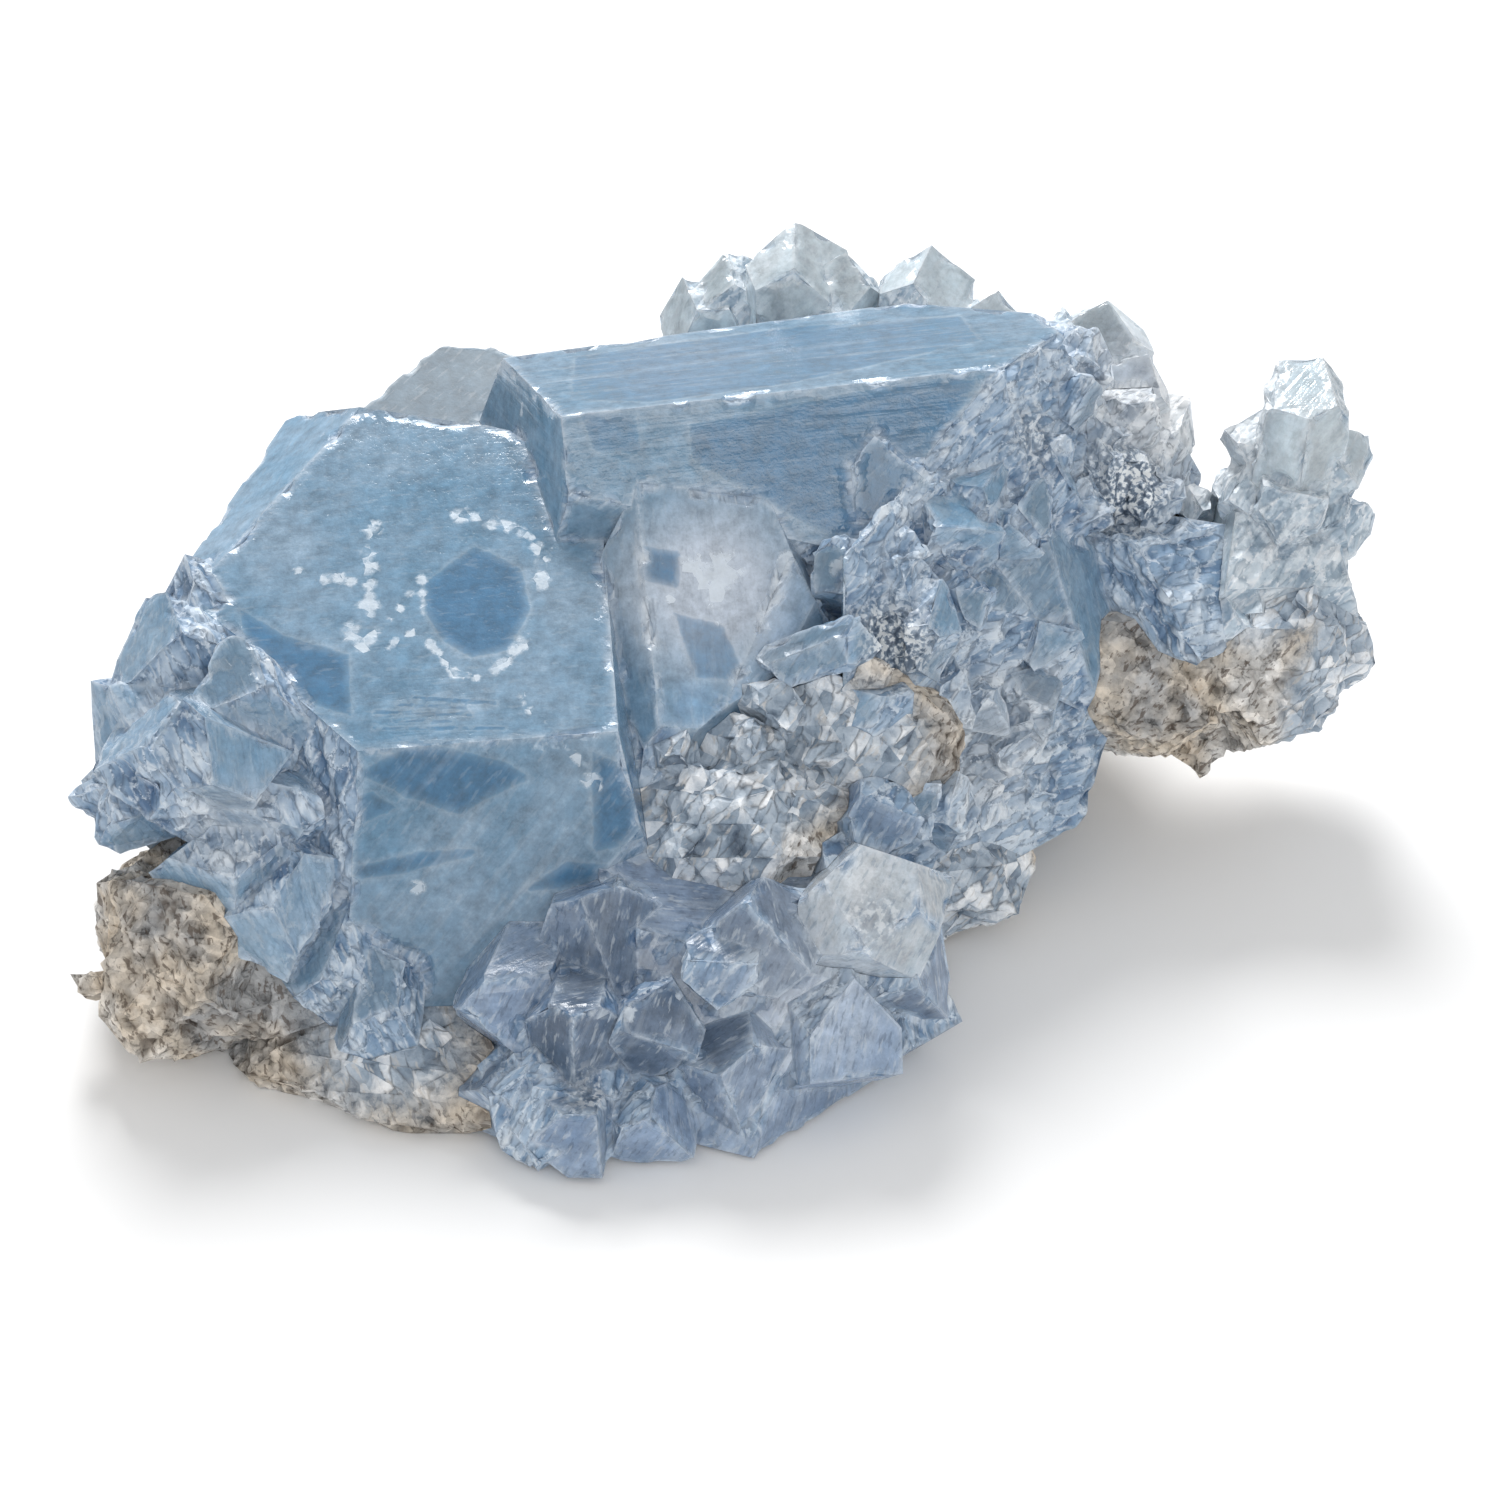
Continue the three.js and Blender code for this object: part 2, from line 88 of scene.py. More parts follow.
def hashed(cells, seed, count):
    """Repeatable numbers from 0 to 1 for whole-number cells."""
    mixed = (cells[..., 0] * 73856093) ^ (cells[..., 1] * 19349663) ^ (cells[..., 2] * 83492791)
    mixed = (mixed ^ (seed * 668265263)) & 0xFFFFFFFF
    numbers = []
    for _ in range(count):
        mixed = ((mixed ^ (mixed >> 13)) * 1274126177) & 0xFFFFFFFF
        mixed = mixed ^ (mixed >> 16)
        numbers.append(mixed / 0xFFFFFFFF)
    return np.stack(numbers, axis=-1)


def smooth_noise(points, size, seed):
    """Soft noise from -1 to 1 whose features are about size wide."""
    places = np.asarray(points) / size
    cells = np.floor(places).astype(np.int64)
    inside = places - cells
    weight = inside * inside * (3 - 2 * inside)
    total = np.zeros(len(places))
    for corner in product((0, 1), repeat=3):
        share = np.ones(len(places))
        for axis in range(3):
            share *= weight[:, axis] if corner[axis] else 1 - weight[:, axis]
        total += share * hashed(cells + np.array(corner), seed, 1)[:, 0]
    return total * 2 - 1


TURNS = np.linalg.qr(np.random.default_rng(7).normal(size=(97, 3, 3)))[0]


def blocks(points, size, stretch, seed):
    """Relief of small crystals in random directions: 1 on top of each, lower towards its neighbours."""
    points = np.asarray(points)
    cells = np.floor(points / size).astype(np.int64)
    nearest = np.full(len(points), 9.0)
    for offset in product((-1, 0, 1), repeat=3):
        cell = cells + np.array(offset)
        numbers = hashed(cell, seed, 4)
        away = points / size - cell - numbers[:, :3]
        turned = np.einsum("nij,nj->ni", TURNS[(numbers[:, 3] * 96).astype(int)], away)
        nearest = np.minimum(nearest, np.abs(turned * np.array(stretch)).max(axis=1))
    return 1 - nearest


# ---- fine surfaces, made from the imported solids


def cad_surface(name):
    """A CAD node's corners and triangles, with each corner listed once."""
    mesh = nodes[name].data
    mesh.calc_loop_triangles()
    corners = np.array([vertex.co for vertex in mesh.vertices]) / MM
    _, first, back = np.unique(np.round(corners, 3), axis=0, return_index=True, return_inverse=True)
    triangles = back.reshape(-1)[np.array([triangle.vertices for triangle in mesh.loop_triangles])]
    a, b, c = triangles.T
    return corners[first], triangles[(a != b) & (b != c) & (c != a)]


def plane_of(corners, triangles):
    """Each triangle's normal and area."""
    a, b, c = (corners[triangles[:, i]] for i in range(3))
    cross = np.cross(b - a, c - a)
    double = np.linalg.norm(cross, axis=1)
    return cross / np.maximum(double, 1e-12)[:, None], double / 2


class FlatPatches:
    """Numbers the flat patches of a solid: triangles that share an edge and a plane are in one."""

    def __init__(self, corners, triangles):
        self.corners, self.triangles = corners, triangles
        self.normals, self.areas = plane_of(corners, triangles)
        self.owner = list(range(len(triangles)))
        self.sides = {}
        for number, triangle in enumerate(triangles):
            for i in range(3):
                side = tuple(sorted((int(triangle[i]), int(triangle[i - 1]))))
                self.sides.setdefault(side, []).append(number)
        self.join_flat()
        self.join_slivers()
        self.patch = np.array([self.root(i) for i in range(len(triangles))])

    def root(self, number):
        while self.owner[number] != number:
            self.owner[number] = self.owner[self.owner[number]]
            number = self.owner[number]
        return number

    def join_flat(self):
        for pair in self.sides.values():
            if len(pair) != 2 or min(self.areas[pair]) < SLIVER:
                continue
            if self.normals[pair[0]] @ self.normals[pair[1]] > SAME_PLANE:
                self.owner[self.root(pair[0])] = self.root(pair[1])

    def join_slivers(self):
        for number in np.where(self.areas < SLIVER)[0]:
            triangle = self.triangles[number]
            sides = [tuple(sorted((int(triangle[i]), int(triangle[i - 1])))) for i in range(3)]
            length = [np.linalg.norm(self.corners[a] - self.corners[b]) for a, b in sides]
            pair = self.sides[sides[int(np.argmax(length))]]
            self.owner[self.root(number)] = self.root(pair[0] if pair[1 % len(pair)] == number else pair[-1])


def inside_triangles(points, flat, triangles, slack=1e-6):
    """Which 2-D points lie in any of the flat triangles."""
    found = np.zeros(len(points), bool)
    for triangle in triangles:
        a, b, c = flat[triangle]
        u, v, w = b - a, c - a, points - a
        area = u[0] * v[1] - u[1] * v[0]
        if abs(area) < 1e-9:
            continue
        s = (w[:, 0] * v[1] - w[:, 1] * v[0]) / area
        t = (u[0] * w[:, 1] - u[1] * w[:, 0]) / area
        found |= (s >= -slack) & (t >= -slack) & (s + t <= 1 + slack)
    return found


def grid_in(flat, triangles, edge_points, spacing, rng):
    """Points on a jittered triangular grid inside a patch, clear of its edges."""
    low, high = flat.min(axis=0), flat.max(axis=0)
    rows = np.arange(low[1], high[1], spacing * 0.87)
    columns = np.arange(low[0], high[0] + spacing, spacing)
    if len(rows) * len(columns) == 0:
        return np.zeros((0, 2))
    x, y = np.meshgrid(columns, rows)
    x = x + (np.arange(len(rows)) % 2)[:, None] * spacing / 2
    points = np.stack([x.ravel(), y.ravel()], axis=1)
    points += rng.uniform(-0.22, 0.22, points.shape) * spacing
    points = points[inside_triangles(points, flat, triangles, slack=0)]
    tree = KDTree(len(edge_points))
    for number, point in enumerate(edge_points):
        tree.insert((point[0], point[1], 0), number)
    tree.balance()
    clear = [tree.find((x, y, 0))[2] > 0.55 * spacing for x, y in points]
    return points[np.array(clear, bool)] if len(points) else points


class FineSurface:
    """A solid's surface cut into small even triangles, each of which remembers its flat patch."""

    def __init__(self, name, spacing, hidden_from):
        corners, triangles = cad_surface(name)
        patches = FlatPatches(corners, triangles)
        self.spacing = spacing
        self.points = list(corners)
        self.triangles = []
        self.face_patch = []
        self.face_flat = []
        self.patch_facts = {}
        self.split = {}
        rng = np.random.default_rng(len(corners))
        for patch in np.unique(patches.patch):
            self.add_patch(patches, patch, hidden_from, rng)
        self.points = np.array(self.points)
        self.triangles = np.array(self.triangles)
        self.face_patch = np.array(self.face_patch)
        self.face_flat = np.array(self.face_flat)
        self.find_normals(patches)

    def add_patch(self, patches, patch, hidden_from, rng):
        members = np.where(patches.patch == patch)[0]
        triangles = patches.triangles[members]
        normal = (patches.normals[members] * patches.areas[members, None]).sum(axis=0)
        normal /= max(np.linalg.norm(normal), 1e-12)
        middle = patches.corners[triangles].mean(axis=1)
        middle = (middle * patches.areas[members, None]).sum(axis=0) / max(patches.areas[members].sum(), 1e-12)
        hidden = self.is_hidden(patches, members, normal, hidden_from)
        sides = [side for side in self.rim(patches, members)]
        longest = max(sides, key=lambda side: np.linalg.norm(patches.corners[side[0]] - patches.corners[side[1]]))
        along = patches.corners[longest[1]] - patches.corners[longest[0]]
        if patches.areas[members].sum() < SHARD_AREA:
            grain = grain_at(middle)
            along = grain - (grain @ normal) * normal
        along /= np.linalg.norm(along)
        across = np.cross(normal, along)
        basis = np.stack([along, across], axis=1)
        used = np.unique(triangles)
        flat = np.zeros((len(patches.corners), 2))
        flat[used] = patches.corners[used] @ basis
        area = patches.areas[members].sum()
        self.patch_facts[int(patch)] = (normal, middle, area, hidden)
        rim_ids, rim_edges = self.rim_points(patches, sides, self.spacing * (4 if hidden else 1))
        local = {number: i for i, number in enumerate(rim_ids)}
        rim_flat = np.array([self.points[i] for i in rim_ids]) @ basis
        if hidden:
            grid = np.zeros((0, 2))
        else:
            grid = grid_in(flat[used], self.local_triangles(used, triangles), rim_flat, self.spacing, rng)
        ids = list(rim_ids)
        height = patches.corners[triangles[0][0]] @ normal
        lifted = grid @ basis.T + normal * height
        grid = grid[[not self.is_against(point, hidden_from) for point in lifted]] if len(grid) else grid
        for x, y in grid:
            ids.append(len(self.points))
            self.points.append(along * x + across * y + normal * height)
        every = np.concatenate([rim_flat, grid])
        edges = [(local[a], local[b]) for a, b in rim_edges]
        made = delaunay_2d_cdt([Vector(point) for point in every], edges, [], 0, 1e-6, True)
        vertices, _, faces, origins = made[0], made[1], made[2], made[3]
        if len(faces):
            centres = np.array([[sum(vertices[i][k] for i in face) / 3 for k in (0, 1)] for face in faces])
            keep = inside_triangles(centres, flat[used], self.local_triangles(used, triangles), slack=1e-4)
        new_ids = []
        for vertex, origin in zip(vertices, origins):
            if origin:
                new_ids.append(ids[origin[0]])
            else:
                new_ids.append(len(self.points))
                self.points.append(along * vertex[0] + across * vertex[1] + normal * height)
        for number, face in enumerate(faces):
            if not keep[number]:
                continue
            a, b, c = face
            self.triangles.append((new_ids[a], new_ids[b], new_ids[c]))
            self.face_patch.append(int(patch))
            self.face_flat.append([tuple(vertices[i]) for i in face])

    @staticmethod
    def local_triangles(used, triangles):
        return np.searchsorted(used, triangles)

    @staticmethod
    def is_hidden(patches, members, normal, hidden_from):
        """Whether all of a patch is grown against a neighbour."""
        for member in members:
            for point in [patches.corners[patches.triangles[member]].mean(axis=0)]:
                if not FineSurface.is_against(point, hidden_from):
                    return False
        return True

    @staticmethod
    def is_against(point, neighbours):
        return any(tree.find_nearest(Vector(point), CONTACT)[0] for tree in neighbours)

    @staticmethod
    def rim(patches, members):
        """The edges round a patch, in the direction of its triangles."""
        inside = set(members.tolist())
        for member in members:
            triangle = patches.triangles[member]
            for i in range(3):
                start, end = int(triangle[i]), int(triangle[(i + 1) % 3])
                owners = patches.sides[tuple(sorted((start, end)))]
                if sum(owner in inside for owner in owners) == 1:
                    yield start, end

    def rim_points(self, patches, sides, spacing):
        """Splits the edges round a patch, the same way for both patches that share one."""
        ids, edges = {}, []
        for start, end in sides:
            key = tuple(sorted((start, end)))
            if key not in self.split:
                a, b = self.points[key[0]], self.points[key[1]]
                steps = max(1, round(float(np.linalg.norm(b - a)) / self.spacing))
                between = []
                for step in range(1, steps):
                    between.append(len(self.points))
                    self.points.append(a + (b - a) * step / steps)
                self.split[key] = [key[0], *between, key[1]]
            chain = self.split[key]
            for i in chain:
                ids.setdefault(i, None)
            edges.extend(zip(chain, chain[1:]))
        return list(ids), edges

    def find_normals(self, patches):
        """Point normals from the flat patches round each point, and how far each point is from a crease."""
        patch_normal = {patch: facts[0] for patch, facts in self.patch_facts.items()}
        hidden = {patch: facts[3] for patch, facts in self.patch_facts.items()}
        face_normal = np.array([patch_normal[p] for p in self.face_patch])
        shown = np.array([not hidden[p] for p in self.face_patch])
        total = np.zeros_like(self.points)
        backup = np.zeros_like(self.points)
        for i in range(3):
            np.add.at(total, self.triangles[shown, i], face_normal[shown])
            np.add.at(backup, self.triangles[:, i], face_normal)
        bare = np.linalg.norm(total, axis=1) < 1e-6
        self.buried = bare
        total[bare] = backup[bare]
        self.normals = total / np.maximum(np.linalg.norm(total, axis=1), 1e-9)[:, None]
        self.shown = shown
        creased = []
        for (start, end), chain in self.split.items():
            owners = patches.sides[(start, end)]
            facts = [self.patch_facts[int(patches.patch[owner])] for owner in owners]
            if len(facts) == 2 and facts[0][0] @ facts[1][0] < CREASE:
                creased.extend(chain)
        tree = KDTree(max(1, len(creased)))
        for number in creased:
            tree.insert(self.points[number], number)
        tree.balance()
        self.edge = np.array([tree.find(point)[2] for point in self.points])


def mesh_from(name, points, triangles, uvs=None, marks=None):
    """A Blender object from points in mm, with its paint marks."""
    mesh = bpy.data.meshes.new(name)
    mesh.from_pydata((np.asarray(points) * MM).tolist(), [], np.asarray(triangles).tolist())
    if uvs is not None:
        layer = mesh.uv_layers.new(name="Faces")
        layer.data.foreach_set("uv", np.asarray(uvs, np.float32).ravel())
    for mark, values in (marks or {}).items():
        attribute = mesh.attributes.new(mark, "FLOAT", "POINT")
        attribute.data.foreach_set("value", np.asarray(values, np.float32))
    piece = bpy.data.objects.new(name, mesh)
    bpy.context.scene.collection.objects.link(piece)
    return piece


def solid_tree(name):
    corners, triangles = cad_surface(name)
    return BVHTree.FromPolygons([Vector(c) for c in corners], triangles.tolist())


trees = {name: solid_tree(name) for name in nodes}


def fine(name, spacing):
    return FineSurface(name, spacing, [tree for other, tree in trees.items() if other != name])


def nearest_of(points, names, reach):
    """How far each point is from the nearest of these pieces, and the place there."""
    far = np.full(len(points), reach)
    places = np.array(points)
    for name in names:
        tree = trees[name]
        for number, point in enumerate(points):
            place, _, _, distance = tree.find_nearest(Vector(point), far[number])
            if place is not None and distance < far[number]:
                far[number] = distance
                places[number] = place
    return far, places


def grown_together(name, surface, depth):
    """Moves the points in by their depth, and closes the narrow gaps to the pieces before this one."""
    others = [other for other in ORDER if other != name]
    near, _ = nearest_of(surface.points, others, CALM_NEAR)
    share = np.clip((near - BRIDGED / 2) / (CALM_NEAR - BRIDGED / 2), 0, 1)
    moved = surface.points - surface.normals * (depth * share)[:, None]
    before = ORDER[: ORDER.index(name)]
    gap, places = nearest_of(surface.points, before, BRIDGED)
    towards = gap < BRIDGED
    moved[towards] += (places - surface.points)[towards] * 0.9
    low, high = np.array(cad_box) / MM
    return np.clip(moved, low, high)


# ---- places of the painted features, on the surface of the part

# Strings of small milky crystals: how wide each is, and the points along it.
MILKY_STRINGS = [
    (0.8, [(-31.9, 3.7, 35.8), (-32.3, 0.7, 34.7), (-31.6, -3.9, 33.1), (-31.2, -9.5, 31.1)]),
    (0.5, [(-38.3, -0.6, 33.9), (-33.3, -2.0, 33.7)]),
    (0.9, [(-33.3, -7.1, 31.8), (-31.8, -9.5, 31.1)]),
    (0.6, [(-24.2, 4.5, 36.6), (-19.0, 2.0, 35.9), (-17.6, 0.9, 35.6), (-17.4, -3.2, 34.2)]),
    (0.8, [(-17.5, -3.0, 34.3), (-17.3, -4.0, 34.0)]),
    (0.7, [(-18.2, -8.6, 32.2), (-19.8, -10.3, 31.6), (-21.0, -12.0, 30.9)]),
    (0.4, [(-26.7, -8.0, 32.0), (-24.1, -11.7, 30.8), (-21.8, -12.4, 30.7)]),
    (0.4, [(-27.4, -2.4, 33.9), (-27.3, -6.0, 32.6)]),
    (0.5, [(-28.1, -2.9, 33.7), (-30.8, -6.9, 32.1)]),
    (0.6, [(-28.2, -7.3, 32.1), (-30.2, -9.0, 31.4)]),
    (1.3, [(-25.9, 4.9, 36.6), (-24.9, 4.4, 36.5)]),
    (0.4, [(-19.0, -14.1, 30.3), (-15.1, -18.4, 28.4), (-13.7, -18.9, 27.0), (-12.2, -19.7, 24.8)]),
    (0.8, [(-13.2, -19.2, 26.2), (-12.7, -19.5, 25.4)]),
    (0.8, [(-45.6, -1.6, 33.2), (-45.0, -2.0, 33.2)]),
    (0.6, [(-37.7, 15.4, 38.3), (-37.4, 15.2, 38.4)]),
    (0.6, [(-35.2, 15.0, 39.6), (-34.6, 15.0, 39.7)]),
    (0.7, [(-27.4, -22.6, 16.9), (-26.3, -22.8, 16.2)]),
    (0.8, [(-9.6, -20.9, 20.3), (-8.8, -20.9, 19.7)]),
    (0.5, [(21.5, 13.9, 46.8), (15.1, 3.6, 41.1), (11.6, -1.0, 39.8), (9.9, -4.0, 38.8), (6.7, -3.6, 35.1)]),
    (0.4, [(-18.0, 14.8, 44.4), (-19.8, 13.3, 40.8)]),
    (0.9, [(3.2, -2.5, 35.3), (4.4, -2.5, 34.7)]),
    (0.4, [(-6.8, -5.6, 34.3), (-6.2, -5.6, 34.1)]),
    (0.6, [(-12.8, -34.4, 13.2), (-10.6, -34.2, 12.4), (-8.5, -33.8, 12.9)]),
    (0.6, [(-11.0, -38.1, 8.0), (-11.6, -38.1, 6.0)]),
    (0.6, [(-5.9, -31.3, 13.9), (-5.5, -31.7, 12.3)]),
    (0.7, [(1.0, -34.7, 6.6), (2.0, -34.9, 6.2)]),
]

# Clear windows into the deep blue: how deep each looks, and its corners in order round it.
WINDOWS = [
    (0.90, [(-43.0, -4.0, 32.5), (-39.0, -7.0, 31.5), (-33.4, -9.4, 31.0), (-32.6, -15.2, 29.0), (-36.9, -13.5, 29.3),
          (-41.5, -9.0, 30.8)]),
    (0.90, [(-27.2, -2.4, 33.9), (-23.2, 1.0, 35.4), (-19.3, -1.5, 34.7), (-18.4, -5.7, 33.3), (-19.9, -9.4, 31.9),
          (-22.8, -10.0, 31.5), (-25.6, -8.0, 32.0), (-27.0, -5.2, 33.0)]),
    (1.00, [(-31.8, -19.3, 26.0), (-27.2, -17.7, 28.4), (-20.0, -18.9, 27.0), (-17.9, -19.4, 25.7), (-23.5, -20.5, 22.8),
          (-27.7, -20.0, 24.0)]),
    (0.80, [(-33.4, -19.4, 23.6), (-30.7, -19.8, 24.6), (-28.6, -20.3, 23.3), (-33.5, -20.2, 20.7)]),
    (0.90, [(-32.4, -22.0, 18.5), (-27.0, -21.6, 19.6), (-22.1, -21.6, 19.8), (-28.6, -22.2, 17.9), (-32.4, -22.4, 17.6)]),
    (0.90, [(-17.9, -22.7, 16.8), (-14.5, -21.9, 18.9), (-11.5, -22.0, 18.5), (-11.2, -22.5, 17.3)]),
    (1.00, [(-12.5, -18.6, 27.5), (-8.5, -19.4, 26.0), (-8.5, -21.0, 20.5), (-12.5, -21.6, 19.8)]),
    (0.85, [(4.1, 7.2, 45.7), (17.5, 10.0, 46.9), (19.7, 9.9, 46.4), (14.4, 3.5, 40.6), (8.5, -0.5, 36.8), (-4.7, 3.4, 42.5),
          (-4.7, 5.2, 44.7)]),
    (0.70, [(-13.8, 4.9, 46.0), (-9.5, 5.0, 46.0), (-8.8, 3.2, 43.0), (-12.8, 3.2, 43.5)]),
    (0.62, [(2.3, 18.7, 44.9), (9.7, 23.4, 44.7), (9.9, 21.2, 44.9), (3.2, 16.8, 45.0)]),
    (0.56, [(-15.0, 19.0, 44.0), (4.8, 24.0, 44.3), (19.0, 24.5, 45.0), (20.5, 18.0, 46.0), (4.0, 10.0, 46.0),
            (-8.0, 7.0, 45.8), (-15.0, 8.5, 45.4)]),
    (0.80, [(-9.1, -2.3, 37.4), (-5.7, -2.4, 36.8), (-5.7, -4.8, 34.8), (-8.6, -4.6, 35.7)]),
    (0.72, [(-6.1, -6.4, 33.4), (-1.9, -6.8, 32.4), (0.0, -10.0, 28.8), (-4.2, -10.4, 29.6)]),
]
WINDOW_REACH = 3.0  # a window marks only the surface this close to its plane

# Chalky white patches, in the same way.
CHALKY = [
    (1.00, [(-5.5, -2.9, 36.4), (-1.1, -2.1, 36.3), (-0.7, -3.5, 35.0), (-1.8, -6.5, 32.6), (-3.6, -5.6, 33.7)]),
]

# Growth steps: lines side by side, from the first corner towards the second, over a four-cornered patch.
STEPS = {"corners": [(-30.2, -13.3, 29.8), (-20.6, -14.6, 29.9), (-20.6, -17.6, 28.8), (-30.0, -17.2, 28.4)], "count": 5,
         "depth": 0.75}

# Places where even the smaller faces are smooth, in the same way as the spots below.
CALM_SPOTS = [(-3.0, -4.0, 33.0, 13.0, 1.0), (-12.0, 6.0, 43.0, 9.0, 1.0), (12.0, 4.0, 43.0, 7.0, 1.0)]

# Places where even the bigger faces are rugged.
CRUSTED_SPOTS = [(49.0, 9.0, 26.0, 10.0, 1.0), (55.0, 12.0, 27.0, 8.0, 1.0), (24.0, -8.0, 17.0, 7.0, 1.0)]

# Which way the shards of the rugged zones run, to the left, at the front and to the right.
LEFT_GRAIN = (0.39, -0.71, -0.59)
FRONT_GRAIN = (0.45, 0.25, 0.85)
RIGHT_GRAIN = (-0.58, -0.68, -0.45)

# Soft spots, each a place, a radius and a strength: pale lavender faces, painted shade in the hollows, and painted
# sparkles of light.
PALE_SPOTS = [
    (-3.0, -4.0, 34.0, 10.0, 1.0), (-42.5, -21.0, 22.0, 6.0, 0.45), (-6.0, 17.0, 45.5, 10.0, 0.2),
    (38.0, 22.0, 38.0, 12.0, 1.0), (23.0, -8.0, 20.0, 11.0, 0.6), (5.0, -28.0, 12.0, 9.0, 0.5),
]
# Spots of painted shade: the crystals are painted darker in these hollows.
HOLLOW_SHADE_SPOTS = [
    (-12.0, -31.0, 14.0, 9.0, 1.0), (-7.6, -18.5, 22.0, 3.0, 0.8), (-13.5, -36.0, 9.0, 4.5, 1.0), (1.0, -26.0, 20.0, 5.0, 1.0),
    (-50.0, -20.5, 23.0, 4.0, 0.8), (-39.0, -23.0, 19.5, 2.5, 0.9), (-3.0, -30.0, 15.0, 4.0, 0.6),
    (20.0, 0.5, 35.0, 5.0, 0.4), (27.0, 6.0, 33.0, 5.0, 0.4),
]
# Spots of painted sparkle: white glint specks painted into the colour, standing in for light off tiny facets.
PAINTED_GLINT_SPOTS = [
    (12.0, -8.0, 31.5, 5.0, 1.0), (34.0, 13.0, 34.0, 6.0, 1.0), (-4.5, -19.5, 22.0, 3.5, 1.0),
    (25.0, 10.0, 41.0, 4.0, 0.6), (48.0, 14.0, 30.0, 6.0, 0.3), (10.5, -29.3, 19.0, 3.2, 0.4),
    (-12.5, -37.5, 8.0, 2.5, 0.8),
]
# Where growth lines show on the smooth faces, in the same way.
LINED_SPOTS = [
    (-10.0, 17.0, 45.0, 18.0, 1.0), (15.0, 17.0, 46.0, 16.0, 1.0), (-22.0, -23.0, 17.0, 12.0, 0.8),
    (-26.0, -16.0, 29.0, 7.0, 0.8), (0.0, -28.0, 12.0, 25.0, 1.0), (50.0, 20.0, 35.0, 20.0, 0.8),
    (8.0, 38.0, 42.0, 20.0, 0.8), (0.0, -8.0, 30.0, 7.0, 0.5),
]


def beads(strings):
    """Breaks each string into separate grains of varied size: where each is, and its radius."""
    rng = np.random.default_rng(3)
    for radius, path in strings:
        path = np.array(path)
        for start, end in zip(path, path[1:]):
            count = max(1, round(np.linalg.norm(end - start) / (1.5 * radius)))
            for share in (np.arange(count) + rng.uniform(0, 1, count)) / count:
                yield start + share * (end - start) + rng.normal(0, 0.3 * radius, 3), radius * rng.uniform(0.5, 1.05)


def bead_field(points, strings):
    """Half way at the rim of the nearest grain, more towards its middle, nothing at twice its radius."""
    field = np.zeros(len(points))
    for place, radius in beads(strings):
        field = np.maximum(field, 1 - np.linalg.norm(points - place, axis=1) / (2 * radius))
    return field


def step_outlines(corners, count, depth):
    """Thin outlines with uneven ends, side by side over a four-cornered patch."""
    rng = np.random.default_rng(5)
    first, second, third, fourth = np.array(corners)
    for number in range(count):
        start, end = rng.uniform(-0.1, 0.35), rng.uniform(0.6, 1.1)
        sides = []
        for down in (number / count, (number + 0.45) / count):
            left, right = first + (fourth - first) * down, second + (third - second) * down
            sides.append([left + (right - left) * start, left + (right - left) * end])
        yield depth, [*sides[0], *reversed(sides[1])]


def outline_field(points, outlines, softness):
    """Half way at an outline, more inside it and less outside it."""
    field = np.zeros(len(points))
    for depth, outline in outlines:
        outline = np.array(outline)
        middle = outline.mean(axis=0)
        normal = np.linalg.svd(outline - middle)[2][2]
        side = np.linalg.svd(outline - middle)[2][0]
        basis = np.stack([side, np.cross(normal, side)], axis=1)
        close = np.where(np.abs((points - middle) @ normal) < WINDOW_REACH)[0]
        flat, corners = (points[close] - middle) @ basis, (outline - middle) @ basis
        inside = np.zeros(len(flat), bool)
        away = np.full(len(flat), np.inf)
        for start, end in zip(corners, np.roll(corners, -1, axis=0)):
            line = end - start
            share = np.clip(((flat - start) @ line) / (line @ line), 0, 1)
            away = np.minimum(away, np.linalg.norm(flat - start - share[:, None] * line, axis=1))
            crosses = (start[1] > flat[:, 1]) != (end[1] > flat[:, 1])
            if start[1] != end[1]:
                meets = start[0] + (flat[:, 1] - start[1]) / (end[1] - start[1]) * line[0]
                inside ^= crosses & (flat[:, 0] < meets)
        signed = np.where(inside, away, -away)
        field[close] = np.maximum(field[close], np.clip(0.5 + signed / softness, 0, depth))
    return field


def spot_field(points, spots):
    """1 in the middle of each soft round spot, 0 outside them."""
    field = np.zeros(len(points))
    for x, y, z, radius, strength in spots:
        away = np.linalg.norm(points - np.array([x, y, z]), axis=1) / radius
        field = np.maximum(field, strength * np.clip(1.6 - 1.6 * away, 0, 1))
    return field


# ---- relief


def grain_at(place):
    """Which way the shards run at a place."""
    x, y, z = place
    if x < -20:
        return np.array(LEFT_GRAIN)
    return np.array(FRONT_GRAIN if y < -18 and z < 24 else RIGHT_GRAIN)


def rugged_relief(points, size, seed, drawn_out=0.0):
    """Height from 0 to 1 of a crowd of small crystals, with smaller ones on them, drawn out along the grain."""
    for grain in np.array([LEFT_GRAIN, FRONT_GRAIN, RIGHT_GRAIN]) if drawn_out else ():
        along = points @ grain
        mine = np.array([np.array_equal(grain_at(point), grain) for point in points])
        points = points - np.where(mine, along * drawn_out, 0)[:, None] * grain
    bend = np.stack([smooth_noise(points, size * 1.5, seed + k) for k in range(3)], axis=1) * size * 0.25
    big = np.clip(blocks(points + bend, size, (1.0, 0.75, 0.5), seed + 3), 0, 1)
    small = np.clip(blocks(points, size * 0.45, (1.0, 0.8, 0.55), seed + 4), 0, 1)
    return np.clip((0.68 * big + 0.32 * small - 0.45) / 0.45, 0, 1)


# ---- materials


def shade(red, green, blue):
    """A shader's colour from its red, green and blue on a screen, each from 0 to 255."""
    return (*(((value / 255 + 0.055) / 1.055) ** 2.4 for value in (red, green, blue)), 1)


def new_material(name):
    material = bpy.data.materials.new(name)
    material.use_nodes = True
    tree = material.node_tree
    return material, tree, tree.nodes["Principled BSDF"], tree.nodes["Material Output"]


